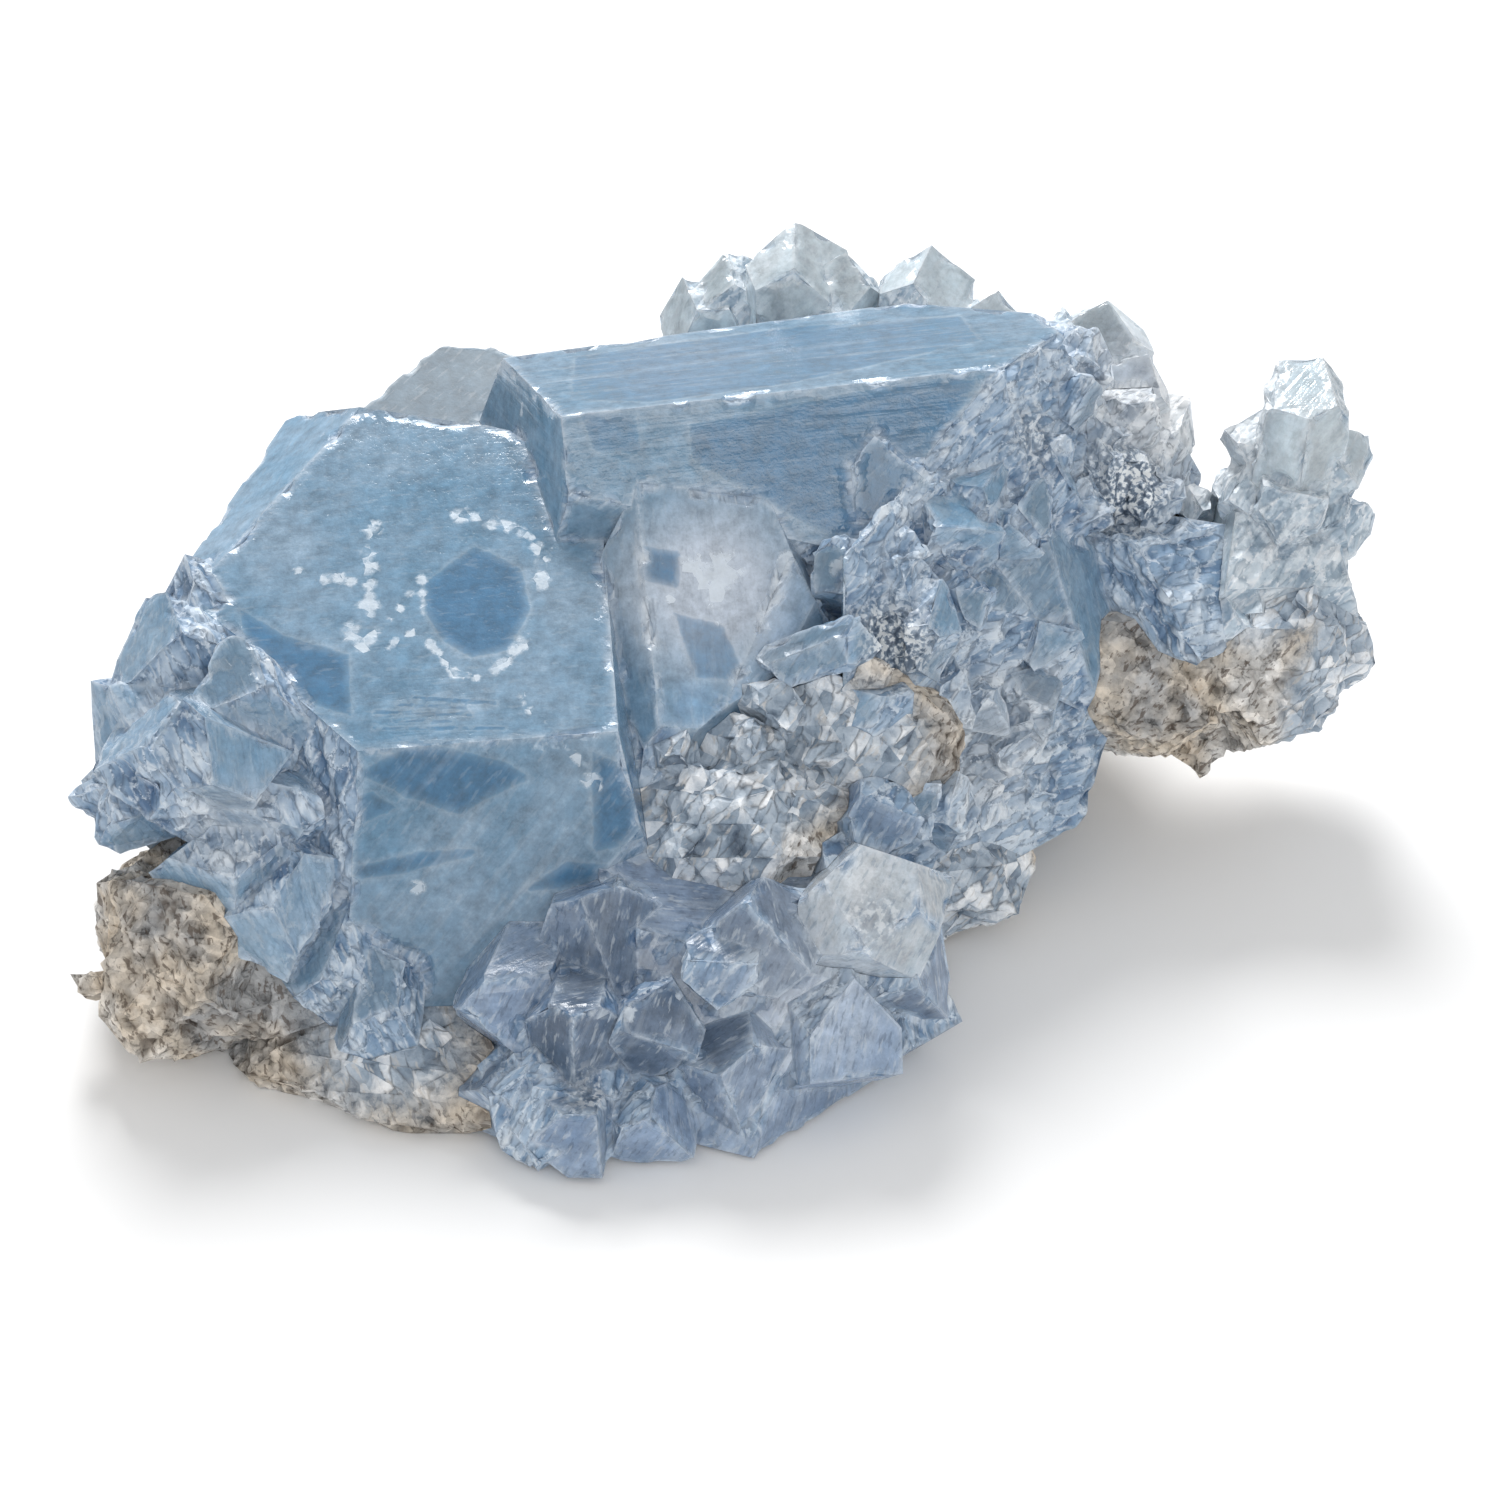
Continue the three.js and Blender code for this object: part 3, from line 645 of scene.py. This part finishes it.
def wire(tree, value, socket):
    """Feeds a socket with another node's output, or with a plain value."""
    if isinstance(value, bpy.types.NodeSocket):
        tree.links.new(value, socket)
    else:
        socket.default_value = value


def ramp(tree, source, stops):
    made = tree.nodes.new("ShaderNodeValToRGB")
    elements = made.color_ramp.elements
    while len(elements) < len(stops):
        elements.new(0.5)
    for element, (position, colour) in zip(elements, stops):
        element.position = position
        element.color = colour if isinstance(colour, tuple) else (colour, colour, colour, 1)
    tree.links.new(source, made.inputs["Fac"])
    return made.outputs["Color"]


def mark(tree, name):
    made = tree.nodes.new("ShaderNodeAttribute")
    made.attribute_name = name
    return made.outputs["Fac"]


def mixed(tree, factor, first, second, blend="MIX"):
    made = tree.nodes.new("ShaderNodeMix")
    made.data_type = "RGBA"
    made.blend_type = blend
    for number, value in ((0, factor), (6, first), (7, second)):
        wire(tree, value, made.inputs[number])
    return made.outputs[2]


def calculated(tree, operation, *values, clamp=False):
    made = tree.nodes.new("ShaderNodeMath")
    made.operation = operation
    made.use_clamp = clamp
    for socket, value in zip(made.inputs, values):
        wire(tree, value, socket)
    return made.outputs[0]


def noise(tree, coordinates, scale, detail=3.0, roughness=0.55, distortion=0.0):
    made = tree.nodes.new("ShaderNodeTexNoise")
    settings = {"Vector": coordinates, "Scale": scale, "Detail": detail, "Roughness": roughness, "Distortion": distortion}
    for name, value in settings.items():
        wire(tree, value, made.inputs[name])
    return made.outputs["Fac"]


def cells(tree, coordinates, scale, feature="F1"):
    """A crowd of cells: a number for each, or how far each place is from its cell's edge."""
    made = tree.nodes.new("ShaderNodeTexVoronoi")
    made.feature = feature
    wire(tree, coordinates, made.inputs["Vector"])
    made.inputs["Scale"].default_value = scale
    if feature == "DISTANCE_TO_EDGE":
        return made.outputs["Distance"]
    return calculated(tree, "FRACT", calculated(tree, "MULTIPLY", made.outputs["Color"], 7.0))


def stretched(tree, coordinates, scale):
    made = tree.nodes.new("ShaderNodeMapping")
    made.inputs["Scale"].default_value = scale
    tree.links.new(coordinates, made.inputs["Vector"])
    return made.outputs["Vector"]


def bent(tree, coordinates, amount):
    """The same coordinates, pushed about by noise."""
    push = tree.nodes.new("ShaderNodeTexNoise")
    push.inputs["Scale"].default_value = 0.9
    tree.links.new(coordinates, push.inputs["Vector"])
    made = tree.nodes.new("ShaderNodeVectorMath")
    made.operation = "MULTIPLY_ADD"
    tree.links.new(push.outputs["Color"], made.inputs[0])
    made.inputs[1].default_value = (amount, amount, 0)
    tree.links.new(coordinates, made.inputs[2])
    return made.outputs["Vector"]


def rim_of(tree, field, wobble, amount, softness=0.08):
    """Turns a painted field into a mask with an irregular rim where the field is half way."""
    moved = calculated(tree, "MULTIPLY_ADD", calculated(tree, "SUBTRACT", wobble, 0.5), amount, field)
    return ramp(tree, moved, [(0.5 - softness, 0.0), (0.5 + softness, 1.0)])


def surface_places(tree):
    """Where a point is in the part, and where it is on its own flat face, in mm."""
    faces = tree.nodes.new("ShaderNodeUVMap")
    faces.uv_map = "Faces"
    return tree.nodes.new("ShaderNodeTexCoord").outputs["Object"], faces.outputs["UV"]


def crystal_material(name, look):
    """Glassy celestite: mottled blue faces with windows and milky strings, and rugged frosted zones."""
    material, tree, shader, output = new_material(name)
    place, faces = surface_places(tree)
    clouds = noise(tree, place, 90, detail=8, roughness=0.68)
    mottle = noise(tree, place, 620, detail=4, roughness=0.75)
    specks = noise(tree, place, 1100, detail=3, roughness=0.7)
    lines = noise(tree, stretched(tree, faces, (0.05, 0.8, 1)), 1.0, detail=3, roughness=0.6, distortion=0.4)
    shards = bent(tree, stretched(tree, faces, (0.3, 0.9, 1)), 0.7)
    flakes = cells(tree, shards, 1.0)
    flake_rim = cells(tree, shards, 1.0, "DISTANCE_TO_EDGE")
    dashes = ramp(tree, noise(tree, stretched(tree, faces, (0.7, 2.4, 1)), 1.0), [(0.56, 0.0), (0.64, 1.0)])
    flecks = ramp(tree, noise(tree, stretched(tree, faces, (0.5, 1.7, 1)), 1.0), [(0.58, 0.0), (0.66, 1.0)])
    rugged, height, pale, dark = (mark(tree, key) for key in ("rugged", "height", "pale", "dark"))

    calm = mixed(tree, ramp(tree, clouds, [(0.38, 0.0), (0.62, 1.0)]), look["body"], look["bright"])
    calm = mixed(tree, pale, calm, look["pale"])
    wobble = calculated(tree, "SUBTRACT", calculated(tree, "MULTIPLY_ADD", clouds, 1.6, mottle), 1.3)
    outline = calculated(tree, "MULTIPLY_ADD", wobble, 0.5, mark(tree, "window"))
    glow = calculated(tree, "MULTIPLY", ramp(tree, outline, [(0.1, 0.0), (0.4, 0.3), (0.46, 0.0)]), clouds)
    calm = mixed(tree, glow, calm, look["milk"])
    calm = mixed(tree, ramp(tree, outline, [(0.44, 0.0), (0.54, 0.4), (0.95, 0.9)]), calm, look["deep"])
    streaks = ramp(tree, lines, [(0.5, 0.0), (0.62, 0.5), (0.72, 1.0)])
    streaks = calculated(tree, "MULTIPLY", streaks, mark(tree, "lined"))
    calm = mixed(tree, calculated(tree, "MULTIPLY", streaks, look["streaks"]), calm, look["milk"])
    grain = ramp(tree, mottle, [(0.3, 0.7), (0.5, 1.0), (0.7, 1.28)])
    calm = mixed(tree, 1.0, calm, grain, "MULTIPLY")
    calm = mixed(tree, 1.0, calm, ramp(tree, mark(tree, "tone"), [(0.0, 0.62), (0.5, 1.0), (1.0, 1.25)]), "MULTIPLY")
    calm = mixed(tree, calculated(tree, "MULTIPLY", dashes, look["dashes"]), calm, look["seam"])
    calm = mixed(tree, calculated(tree, "MULTIPLY", flecks, look["dashes"]), calm, look["milk"])

    # The rugged zones' colour runs from dark to pale with the height of the small crystals: painted shade down
    # between them and a painted highlight on their tops, mixed with noise.
    light = calculated(tree, "MULTIPLY_ADD", height, 0.45, calculated(tree, "MULTIPLY", flakes, 0.4))
    light = calculated(tree, "MULTIPLY_ADD", mottle, 0.4, calculated(tree, "SUBTRACT", light, 0.2))
    # Painted shade: the rugged zones are darker in the hollows that the shade spots mark.
    light = calculated(tree, "SUBTRACT", light, calculated(tree, "MULTIPLY", dark, 0.3))
    light = calculated(tree, "MULTIPLY_ADD", pale, 0.22, light)
    rough = ramp(tree, light, look["rugged"])
    seams = calculated(tree, "MULTIPLY", ramp(tree, flake_rim, [(0.0, 0.7), (0.12, 0.0)]),
                       ramp(tree, mottle, [(0.46, 0.0), (0.52, 1.0)]))
    rough = mixed(tree, calculated(tree, "MAXIMUM", seams, calculated(tree, "MULTIPLY", dashes, 0.5)), rough, look["seam"])
    # Pale lines along the rims of the shards: partly real frosting, partly a painted highlight.
    ridge_frost_and_highlight = calculated(tree, "MULTIPLY", ramp(tree, flake_rim, [(0.0, 0.8), (0.14, 0.0)]),
                        ramp(tree, mottle, [(0.44, 1.0), (0.5, 0.0)]))
    rough = mixed(tree, calculated(tree, "MAXIMUM", ridge_frost_and_highlight, calculated(tree, "MULTIPLY", flecks, 0.5)), rough, look["milk"])
    dusty = tree.nodes.new("ShaderNodeHueSaturation")
    tree.links.new(rough, dusty.inputs["Color"])
    tree.links.new(calculated(tree, "MULTIPLY_ADD", pale, -0.55, 1.0), dusty.inputs["Saturation"])
    rough = dusty.outputs["Color"]

    colour = mixed(tree, rugged, calm, rough)
    # Whitened edges: partly real frosting where the crystals are chipped, partly a highlight painted along the edges.
    edge_frost_and_highlight = calculated(tree, "MULTIPLY", mark(tree, "edge"), ramp(tree, mottle, [(0.42, 0.0), (0.56, 0.45)]))
    colour = mixed(tree, edge_frost_and_highlight, colour, look["milk"])
    # Painted sparkle: white specks on darker ones where the sparkle spots lie, a glint of light painted into the
    # colour.
    painted_glints = ramp(tree, noise(tree, place, 1700, detail=2),
                  [(0.38, shade(76, 92, 112)), (0.5, shade(140, 156, 174)), (0.56, shade(236, 240, 242))])
    colour = mixed(tree, mark(tree, "painted_glint"), colour, painted_glints)
    blots = calculated(tree, "MULTIPLY_ADD", cells(tree, place, 1000), 0.4, calculated(tree, "MULTIPLY", specks, 0.6))
    milk = rim_of(tree, mark(tree, "milk"), blots, 1.2, softness=0.15)
    milk = calculated(tree, "MULTIPLY", milk, ramp(tree, blots, [(0.3, 0.2), (0.65, 0.66)]))
    colour = mixed(tree, milk, colour, look["milk"])
    tree.links.new(colour, shader.inputs["Base Color"])

    frost = calculated(tree, "MAXIMUM", milk, rugged)
    tree.links.new(calculated(tree, "MULTIPLY_ADD", frost, 0.3, look["gloss"]), shader.inputs["Roughness"])
    clear = calculated(tree, "SUBTRACT", 1.0, calculated(tree, "MULTIPLY", frost, 0.75), clamp=True)
    clear = calculated(tree, "MULTIPLY", clear, look["clearness"])
    tree.links.new(clear, shader.inputs["Transmission Weight"])
    shader.inputs["IOR"].default_value = 1.62
    shader.inputs["Specular IOR Level"].default_value = look["shine"]
    bump = tree.nodes.new("ShaderNodeBump")
    bump.inputs["Strength"].default_value = 0.5
    bump.inputs["Distance"].default_value = 0.0003
    steps = calculated(tree, "MULTIPLY", calculated(tree, "MULTIPLY", lines, 0.7), mark(tree, "lined"))
    steps = calculated(tree, "MULTIPLY_ADD", mottle, 0.35, steps)
    steps = calculated(tree, "MULTIPLY_ADD", calculated(tree, "MULTIPLY", flakes, rugged), 0.8, steps)
    tree.links.new(steps, bump.inputs["Height"])
    tree.links.new(bump.outputs["Normal"], shader.inputs["Normal"])
    inside = tree.nodes.new("ShaderNodeVolumeAbsorption")
    inside.inputs["Color"].default_value = look["inside"]
    inside.inputs["Density"].default_value = look["density"]
    tree.links.new(inside.outputs[0], output.inputs["Volume"])
    return material


def rock_material():
    """Grainy rock: pale grains, dark pits between them, beige to grey patches and small bluish crystals."""
    material, tree, shader, _ = new_material("rock")
    place, faces = surface_places(tree)
    patches = noise(tree, place, 75, detail=4)
    mottle = noise(tree, place, 560, detail=5, roughness=0.75)
    grains = cells(tree, place, 900)
    grain_rim = cells(tree, place, 900, "DISTANCE_TO_EDGE")
    colour = ramp(tree, patches, [(0.38, ROCK_GREY), (0.5, ROCK_BEIGE), (0.62, ROCK_PALE)])
    dashes = ramp(tree, noise(tree, stretched(tree, faces, (0.8, 1.8, 1)), 1.0), [(0.57, 0.0), (0.62, 0.7)])
    light = calculated(tree, "MULTIPLY_ADD", grains, 0.25, calculated(tree, "MULTIPLY", mottle, 0.9))
    # Lighter on the tops of the grains and darker in the low places between them: partly the grains' own tones,
    # partly painted shade.
    light = calculated(tree, "MULTIPLY_ADD", mark(tree, "height"), 0.35, light)
    grain = ramp(tree, light, [(0.5, 0.34), (0.64, 0.8), (0.8, 1.1), (0.95, 1.5)])
    colour = mixed(tree, 1.0, colour, grain, "MULTIPLY")
    outline = ramp(tree, calculated(tree, "ADD", grain_rim, mottle), [(0.42, 0.5), (0.52, 1.0)])
    colour = mixed(tree, 1.0, colour, outline, "MULTIPLY")
    pit = rim_of(tree, mark(tree, "pit"), mottle, 1.2, softness=0.12)
    hollows = calculated(tree, "MAXIMUM", dashes, calculated(tree, "MULTIPLY", pit, 0.6))
    colour = mixed(tree, hollows, colour, ROCK_PIT)

    blue = mark(tree, "blue")
    shards = bent(tree, stretched(tree, faces, (0.35, 0.8, 1)), 0.7)
    # The small crystals in the rock are lighter on their tops and darker down between them: partly random tones,
    # partly painted shade and highlight.
    crystals = calculated(tree, "MULTIPLY_ADD", cells(tree, shards, 1.0), 0.45,
                          calculated(tree, "MULTIPLY", mark(tree, "height"), 0.45))
    crystals = calculated(tree, "MULTIPLY_ADD", calculated(tree, "SUBTRACT", mottle, 0.5), 0.5, crystals)
    crystals = ramp(tree, crystals, ROCK_CRYSTALS)
    rim = cells(tree, shards, 1.0, "DISTANCE_TO_EDGE")
    seams = calculated(tree, "MULTIPLY", ramp(tree, rim, [(0.0, 0.7), (0.1, 0.0)]),
                       ramp(tree, mottle, [(0.44, 0.0), (0.54, 1.0)]))
    crystals = mixed(tree, seams, crystals, ROCK_SEAM)
    flecks = ramp(tree, noise(tree, stretched(tree, faces, (0.5, 1.5, 1)), 1.0), [(0.58, 0.0), (0.66, 0.7)])
    crystals = mixed(tree, flecks, crystals, ROCK_PALE)
    colour = mixed(tree, ramp(tree, blue, [(0.15, 0.0), (0.4, 1.0)]), colour, crystals)
    tree.links.new(colour, shader.inputs["Base Color"])
    tree.links.new(calculated(tree, "MULTIPLY_ADD", blue, -0.4, 0.8), shader.inputs["Roughness"])
    bump = tree.nodes.new("ShaderNodeBump")
    bump.inputs["Strength"].default_value = 0.7
    bump.inputs["Distance"].default_value = 0.0004
    tree.links.new(light, bump.inputs["Height"])
    tree.links.new(bump.outputs["Normal"], shader.inputs["Normal"])
    return material


ROCK_GREY = shade(156, 156, 156)
ROCK_BEIGE = shade(192, 181, 166)
ROCK_PALE = shade(200, 198, 195)
ROCK_CRYSTALS = [(0.08, shade(84, 98, 116)), (0.3, shade(140, 156, 172)), (0.5, shade(180, 192, 204)),
                 (0.75, shade(242, 244, 246))]
ROCK_SEAM = shade(72, 78, 86)
ROCK_PIT = shade(78, 64, 52)

BLUE_LOOK = {
    "deep": shade(72, 124, 163), "body": shade(112, 154, 184), "bright": shade(146, 175, 199),
    "pale": shade(206, 217, 231), "milk": shade(222, 231, 239), "seam": shade(70, 90, 114), "streaks": 0.3,
    "dashes": 0.12,
    "rugged": [(0.1, shade(84, 116, 152)), (0.35, shade(132, 160, 188)), (0.55, shade(170, 190, 210)),
               (0.85, shade(224, 232, 239))],
    "gloss": 0.15, "shine": 0.5, "clearness": 0.3, "inside": shade(140, 186, 226), "density": 25.0,
}
FROSTED_LOOK = {
    **BLUE_LOOK, "body": shade(110, 134, 164), "bright": shade(152, 172, 198), "deep": shade(66, 94, 130),
    "streaks": 0.4, "dashes": 0.4, "gloss": 0.2, "clearness": 0.25,
}
CLEAR_LOOK = {
    **BLUE_LOOK, "body": shade(196, 214, 228), "bright": shade(232, 239, 245), "deep": shade(130, 156, 180),
    "milk": shade(240, 243, 246), "streaks": 0.8, "dashes": 0.35, "seam": shade(120, 144, 168), "gloss": 0.06, "clearness": 0.35, "inside": shade(205, 222, 238),
    "density": 15.0,
}
PALE_LOOK = {
    **BLUE_LOOK, "body": shade(200, 217, 226), "bright": shade(224, 234, 240), "deep": shade(140, 172, 194),
    "milk": shade(240, 243, 246), "seam": shade(120, 142, 160), "streaks": 0.4, "gloss": 0.12, "clearness": 0.4,
    "rugged": [(0.1, shade(124, 148, 170)), (0.35, shade(176, 194, 208)), (0.55, shade(206, 218, 227)),
               (0.85, shade(244, 247, 249))],
    "inside": shade(198, 222, 236), "density": 15.0,
}
# The back-left crystal's look: the pale look darkened, partly its own greyer colour and partly painted shade, because
# the key light falls full on it.
GREY_AND_SHADED_LOOK = {
    **PALE_LOOK, "body": shade(76, 100, 118), "bright": shade(108, 130, 146), "clearness": 0.3,
    "gloss": 0.45, "shine": 0.1,
}


# ---- the pieces

LOOKS = {
    "blue_crystal": BLUE_LOOK, "frosted_crystal": FROSTED_LOOK, "clear_crystal": CLEAR_LOOK,
    "pale_crystal": PALE_LOOK, "grey_crystal": GREY_AND_SHADED_LOOK,
}
MATERIALS = {slot: crystal_material(slot, look) for slot, look in LOOKS.items()}

# How each crystal piece is dressed: its slot, the spacing of its points, the height and size of the small
# crystals on its rugged faces, and how big a face stays smooth.
CRYSTAL_PIECES = {
    "main_crystals": ("blue_crystal", CRYSTAL_SPACING, 1.4, 2.1, 90.0),
    "front_crystals": ("frosted_crystal", CRYSTAL_SPACING, 0.7, 1.8, 22.0),
    "clear_crystal": ("clear_crystal", CRYSTAL_SPACING, 0.3, 1.5, 8.0),
    "tower_crystals": ("pale_crystal", CRYSTAL_SPACING, 0.9, 2.0, 24.0),
    "back_left_crystal": ("grey_crystal", 0.5, 0.5, 2.0, 40.0),
    "back_middle_crystals": ("pale_crystal", CRYSTAL_SPACING, 0.6, 1.8, 12.0),
    "back_right_crystals": ("pale_crystal", CRYSTAL_SPACING, 0.7, 1.8, 12.0),
}
RUGGED_SIDE = 12.0  # right of this even the big faces are rugged
MODEST_AREA = 9.0  # smaller faces are always rugged
SWELL = 0.35  # the share of a small crystal's height that stands out of the flat face


def ruggedness(surface, smooth_area):
    """How rugged each point's face is: 0 on the big smooth faces, 1 on tiny ones, mixed in between."""
    rugged = np.ones(len(surface.points))
    for patch, (_, middle, area, hidden) in surface.patch_facts.items():
        chance = hashed(np.floor(middle * 10).astype(np.int64), 5, 1)[0]
        if spot_field(middle[None], CRUSTED_SPOTS)[0] > 0.3:
            continue
        if area > smooth_area and (middle[0] < RUGGED_SIDE or smooth_area < MODEST_AREA * 3):
            amount = 0.0
        elif area > MODEST_AREA and spot_field(middle[None], CALM_SPOTS)[0] > 0.3:
            amount = 0.0
        elif area > MODEST_AREA and chance < 0.5 and (smooth_area < 80 or middle[0] < 34):
            amount = 0.15 + 0.5 * chance
        else:
            continue
        members = np.unique(surface.triangles[surface.face_patch == patch])
        rugged[members] = np.minimum(rugged[members], amount)
    return rugged


def tones(surface, smooth_area):
    """A tone from 0 to 1 for each point: every face of a small crystal has its own, big faces are in the middle."""
    tone = np.full(len(surface.points), 0.5)
    for patch, (_, middle, area, hidden) in surface.patch_facts.items():
        chance = hashed(np.floor(middle * 10).astype(np.int64), 9, 1)[0]
        if area < smooth_area * 4:
            tone[np.unique(surface.triangles[surface.face_patch == patch])] = chance
    # Painted shade: the tone is lower in the hollows that the shade spots mark.
    return tone - 0.4 * spot_field(surface.points, HOLLOW_SHADE_SPOTS)


def dress_crystals(name, slot, spacing, rise, size, smooth_area):
    surface = fine(name, spacing)
    points = surface.points
    rugged = ruggedness(surface, smooth_area)
    seed = len(name)
    height = rugged_relief(points, size, seed, drawn_out=0.5)
    near_crease = np.clip(1 - surface.edge / 1.0, 0, 1)
    chips = np.clip(smooth_noise(points, 1.4, seed + 7) + 0.05, 0, 1) * near_crease
    depth = rugged * rise * (1 - SWELL - height) + 0.8 * chips
    depth[surface.buried] = 0
    moved = grown_together(name, surface, depth)
    marks = {
        "rugged": np.clip(rugged + 2 * chips + 0.3 * near_crease, 0, 1),
        "height": 0.55 + rugged * (height - 0.55),
        "tone": tones(surface, smooth_area),
        "edge": np.clip(1 - surface.edge / 0.45, 0, 1),
        "milk": np.maximum(bead_field(points, MILKY_STRINGS), outline_field(points, CHALKY, 2.5)),
        "window": np.maximum(outline_field(points, WINDOWS, 1.6), outline_field(points, step_outlines(**STEPS), 0.7)),
        "lined": 0.15 + 0.85 * spot_field(points, LINED_SPOTS),
        "pale": spot_field(points, PALE_SPOTS),
        "dark": spot_field(points, HOLLOW_SHADE_SPOTS),
        "painted_glint": spot_field(points, PAINTED_GLINT_SPOTS),
    }
    piece = mesh_from(name + "_look", moved, surface.triangles, surface.face_flat, marks)
    piece.data.materials.append(MATERIALS[slot])
    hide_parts(name)
    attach(piece, "root")
    print(name, len(surface.triangles))


# Where the rock is crowded with small bluish crystals: a place, a radius and a strength.
BLUE_ROCK_SPOTS = [
    (0.0, -12.0, 25.0, 12.0, 1.0), (-3.0, -20.0, 21.0, 8.0, 0.9), (10.0, -12.0, 24.0, 8.0, 0.5),
    (20.0, -11.0, 8.0, 9.0, 0.9), (54.0, 8.0, 17.0, 11.0, 0.9), (46.0, 12.0, 24.0, 10.0, 0.9),
    (-30.0, -30.0, 8.0, 12.0, 0.4),
]


def dress_rock():
    surface = fine("matrix", ROCK_SPACING)
    points = surface.points
    blue = spot_field(points, BLUE_ROCK_SPOTS)
    grains = rugged_relief(points, 1.5, 21)
    lumps = rugged_relief(points, 4.5, 24)
    crystals = rugged_relief(points, 2.6, 27)
    height = grains + blue * (crystals - grains)
    grainy = 0.9 * (1 - SWELL - grains) + 0.8 * (0.6 - lumps)
    depth = grainy + blue * (1.7 * (1 - SWELL - crystals) - grainy)
    depth[surface.buried] = 0
    depth[points[:, 2] < 0.05] = np.maximum(depth[points[:, 2] < 0.05], 0) * 0.3
    moved = grown_together("matrix", surface, depth)
    pit = np.clip(0.65 - height + 0.3 * smooth_noise(points, 3.0, 25), 0, 1)
    marks = {"pit": pit, "height": height, "blue": blue}
    piece = mesh_from("matrix_look", moved, surface.triangles, surface.face_flat, marks)
    piece.data.materials.append(rock_material())
    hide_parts("matrix")
    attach(piece, "root")
    print("matrix", len(surface.triangles))


for name, settings in CRYSTAL_PIECES.items():
    dress_crystals(name, *settings)
dress_rock()


# ---- floor, light and camera


def plain_material(name, colour, roughness):
    material, _, shader, _ = new_material(name)
    shader.inputs["Base Color"].default_value = colour
    shader.inputs["Roughness"].default_value = roughness
    return material


def make_floor():
    reach = 4000
    corners = [(-reach, -reach, -0.02), (reach, -reach, -0.02), (reach, reach, -0.02), (-reach, reach, -0.02)]
    floor = mesh_from("floor", corners, [(0, 1, 2), (0, 2, 3)])
    floor.data.materials.append(plain_material("floor_white", (0.92, 0.92, 0.92, 1), 1.0))


def make_light(name, place, size, power, colour=(1, 1, 1)):
    data = bpy.data.lights.new(name, "AREA")
    data.shape = "DISK"
    data.size = size * MM
    data.energy = power
    data.color = colour
    lamp = bpy.data.objects.new(name, data)
    lamp.location = Vector(place) * MM
    lamp.rotation_euler = (Vector((0, 0, 20)) * MM - lamp.location).to_track_quat("-Z", "Y").to_euler()
    bpy.context.scene.collection.objects.link(lamp)


def make_world():
    world = bpy.data.worlds.new("studio")
    world.use_nodes = True
    background = world.node_tree.nodes["Background"]
    background.inputs["Color"].default_value = (1, 1, 1, 1)
    background.inputs["Strength"].default_value = 0.64
    bpy.context.scene.world = world
    bpy.context.scene.view_settings.view_transform = "Standard"


def make_camera():
    data = bpy.data.cameras.new("camera")
    data.lens = CAMERA_LENS
    data.clip_start = 0.01
    camera = bpy.data.objects.new("camera", data)
    rise = math.radians(CAMERA_ELEVATION)
    back = Vector((0, -math.cos(rise), math.sin(rise)))
    camera.location = (Vector(TARGET) + back * CAMERA_DISTANCE) * MM
    camera.rotation_euler = (math.radians(90) - rise, 0, 0)
    bpy.context.scene.collection.objects.link(camera)
    bpy.context.scene.camera = camera


make_floor()
make_light("key", (-60, 350, 430), 240, 2.6)
make_light("fill", (80, -380, 260), 300, 0.5)
make_world()
make_camera()
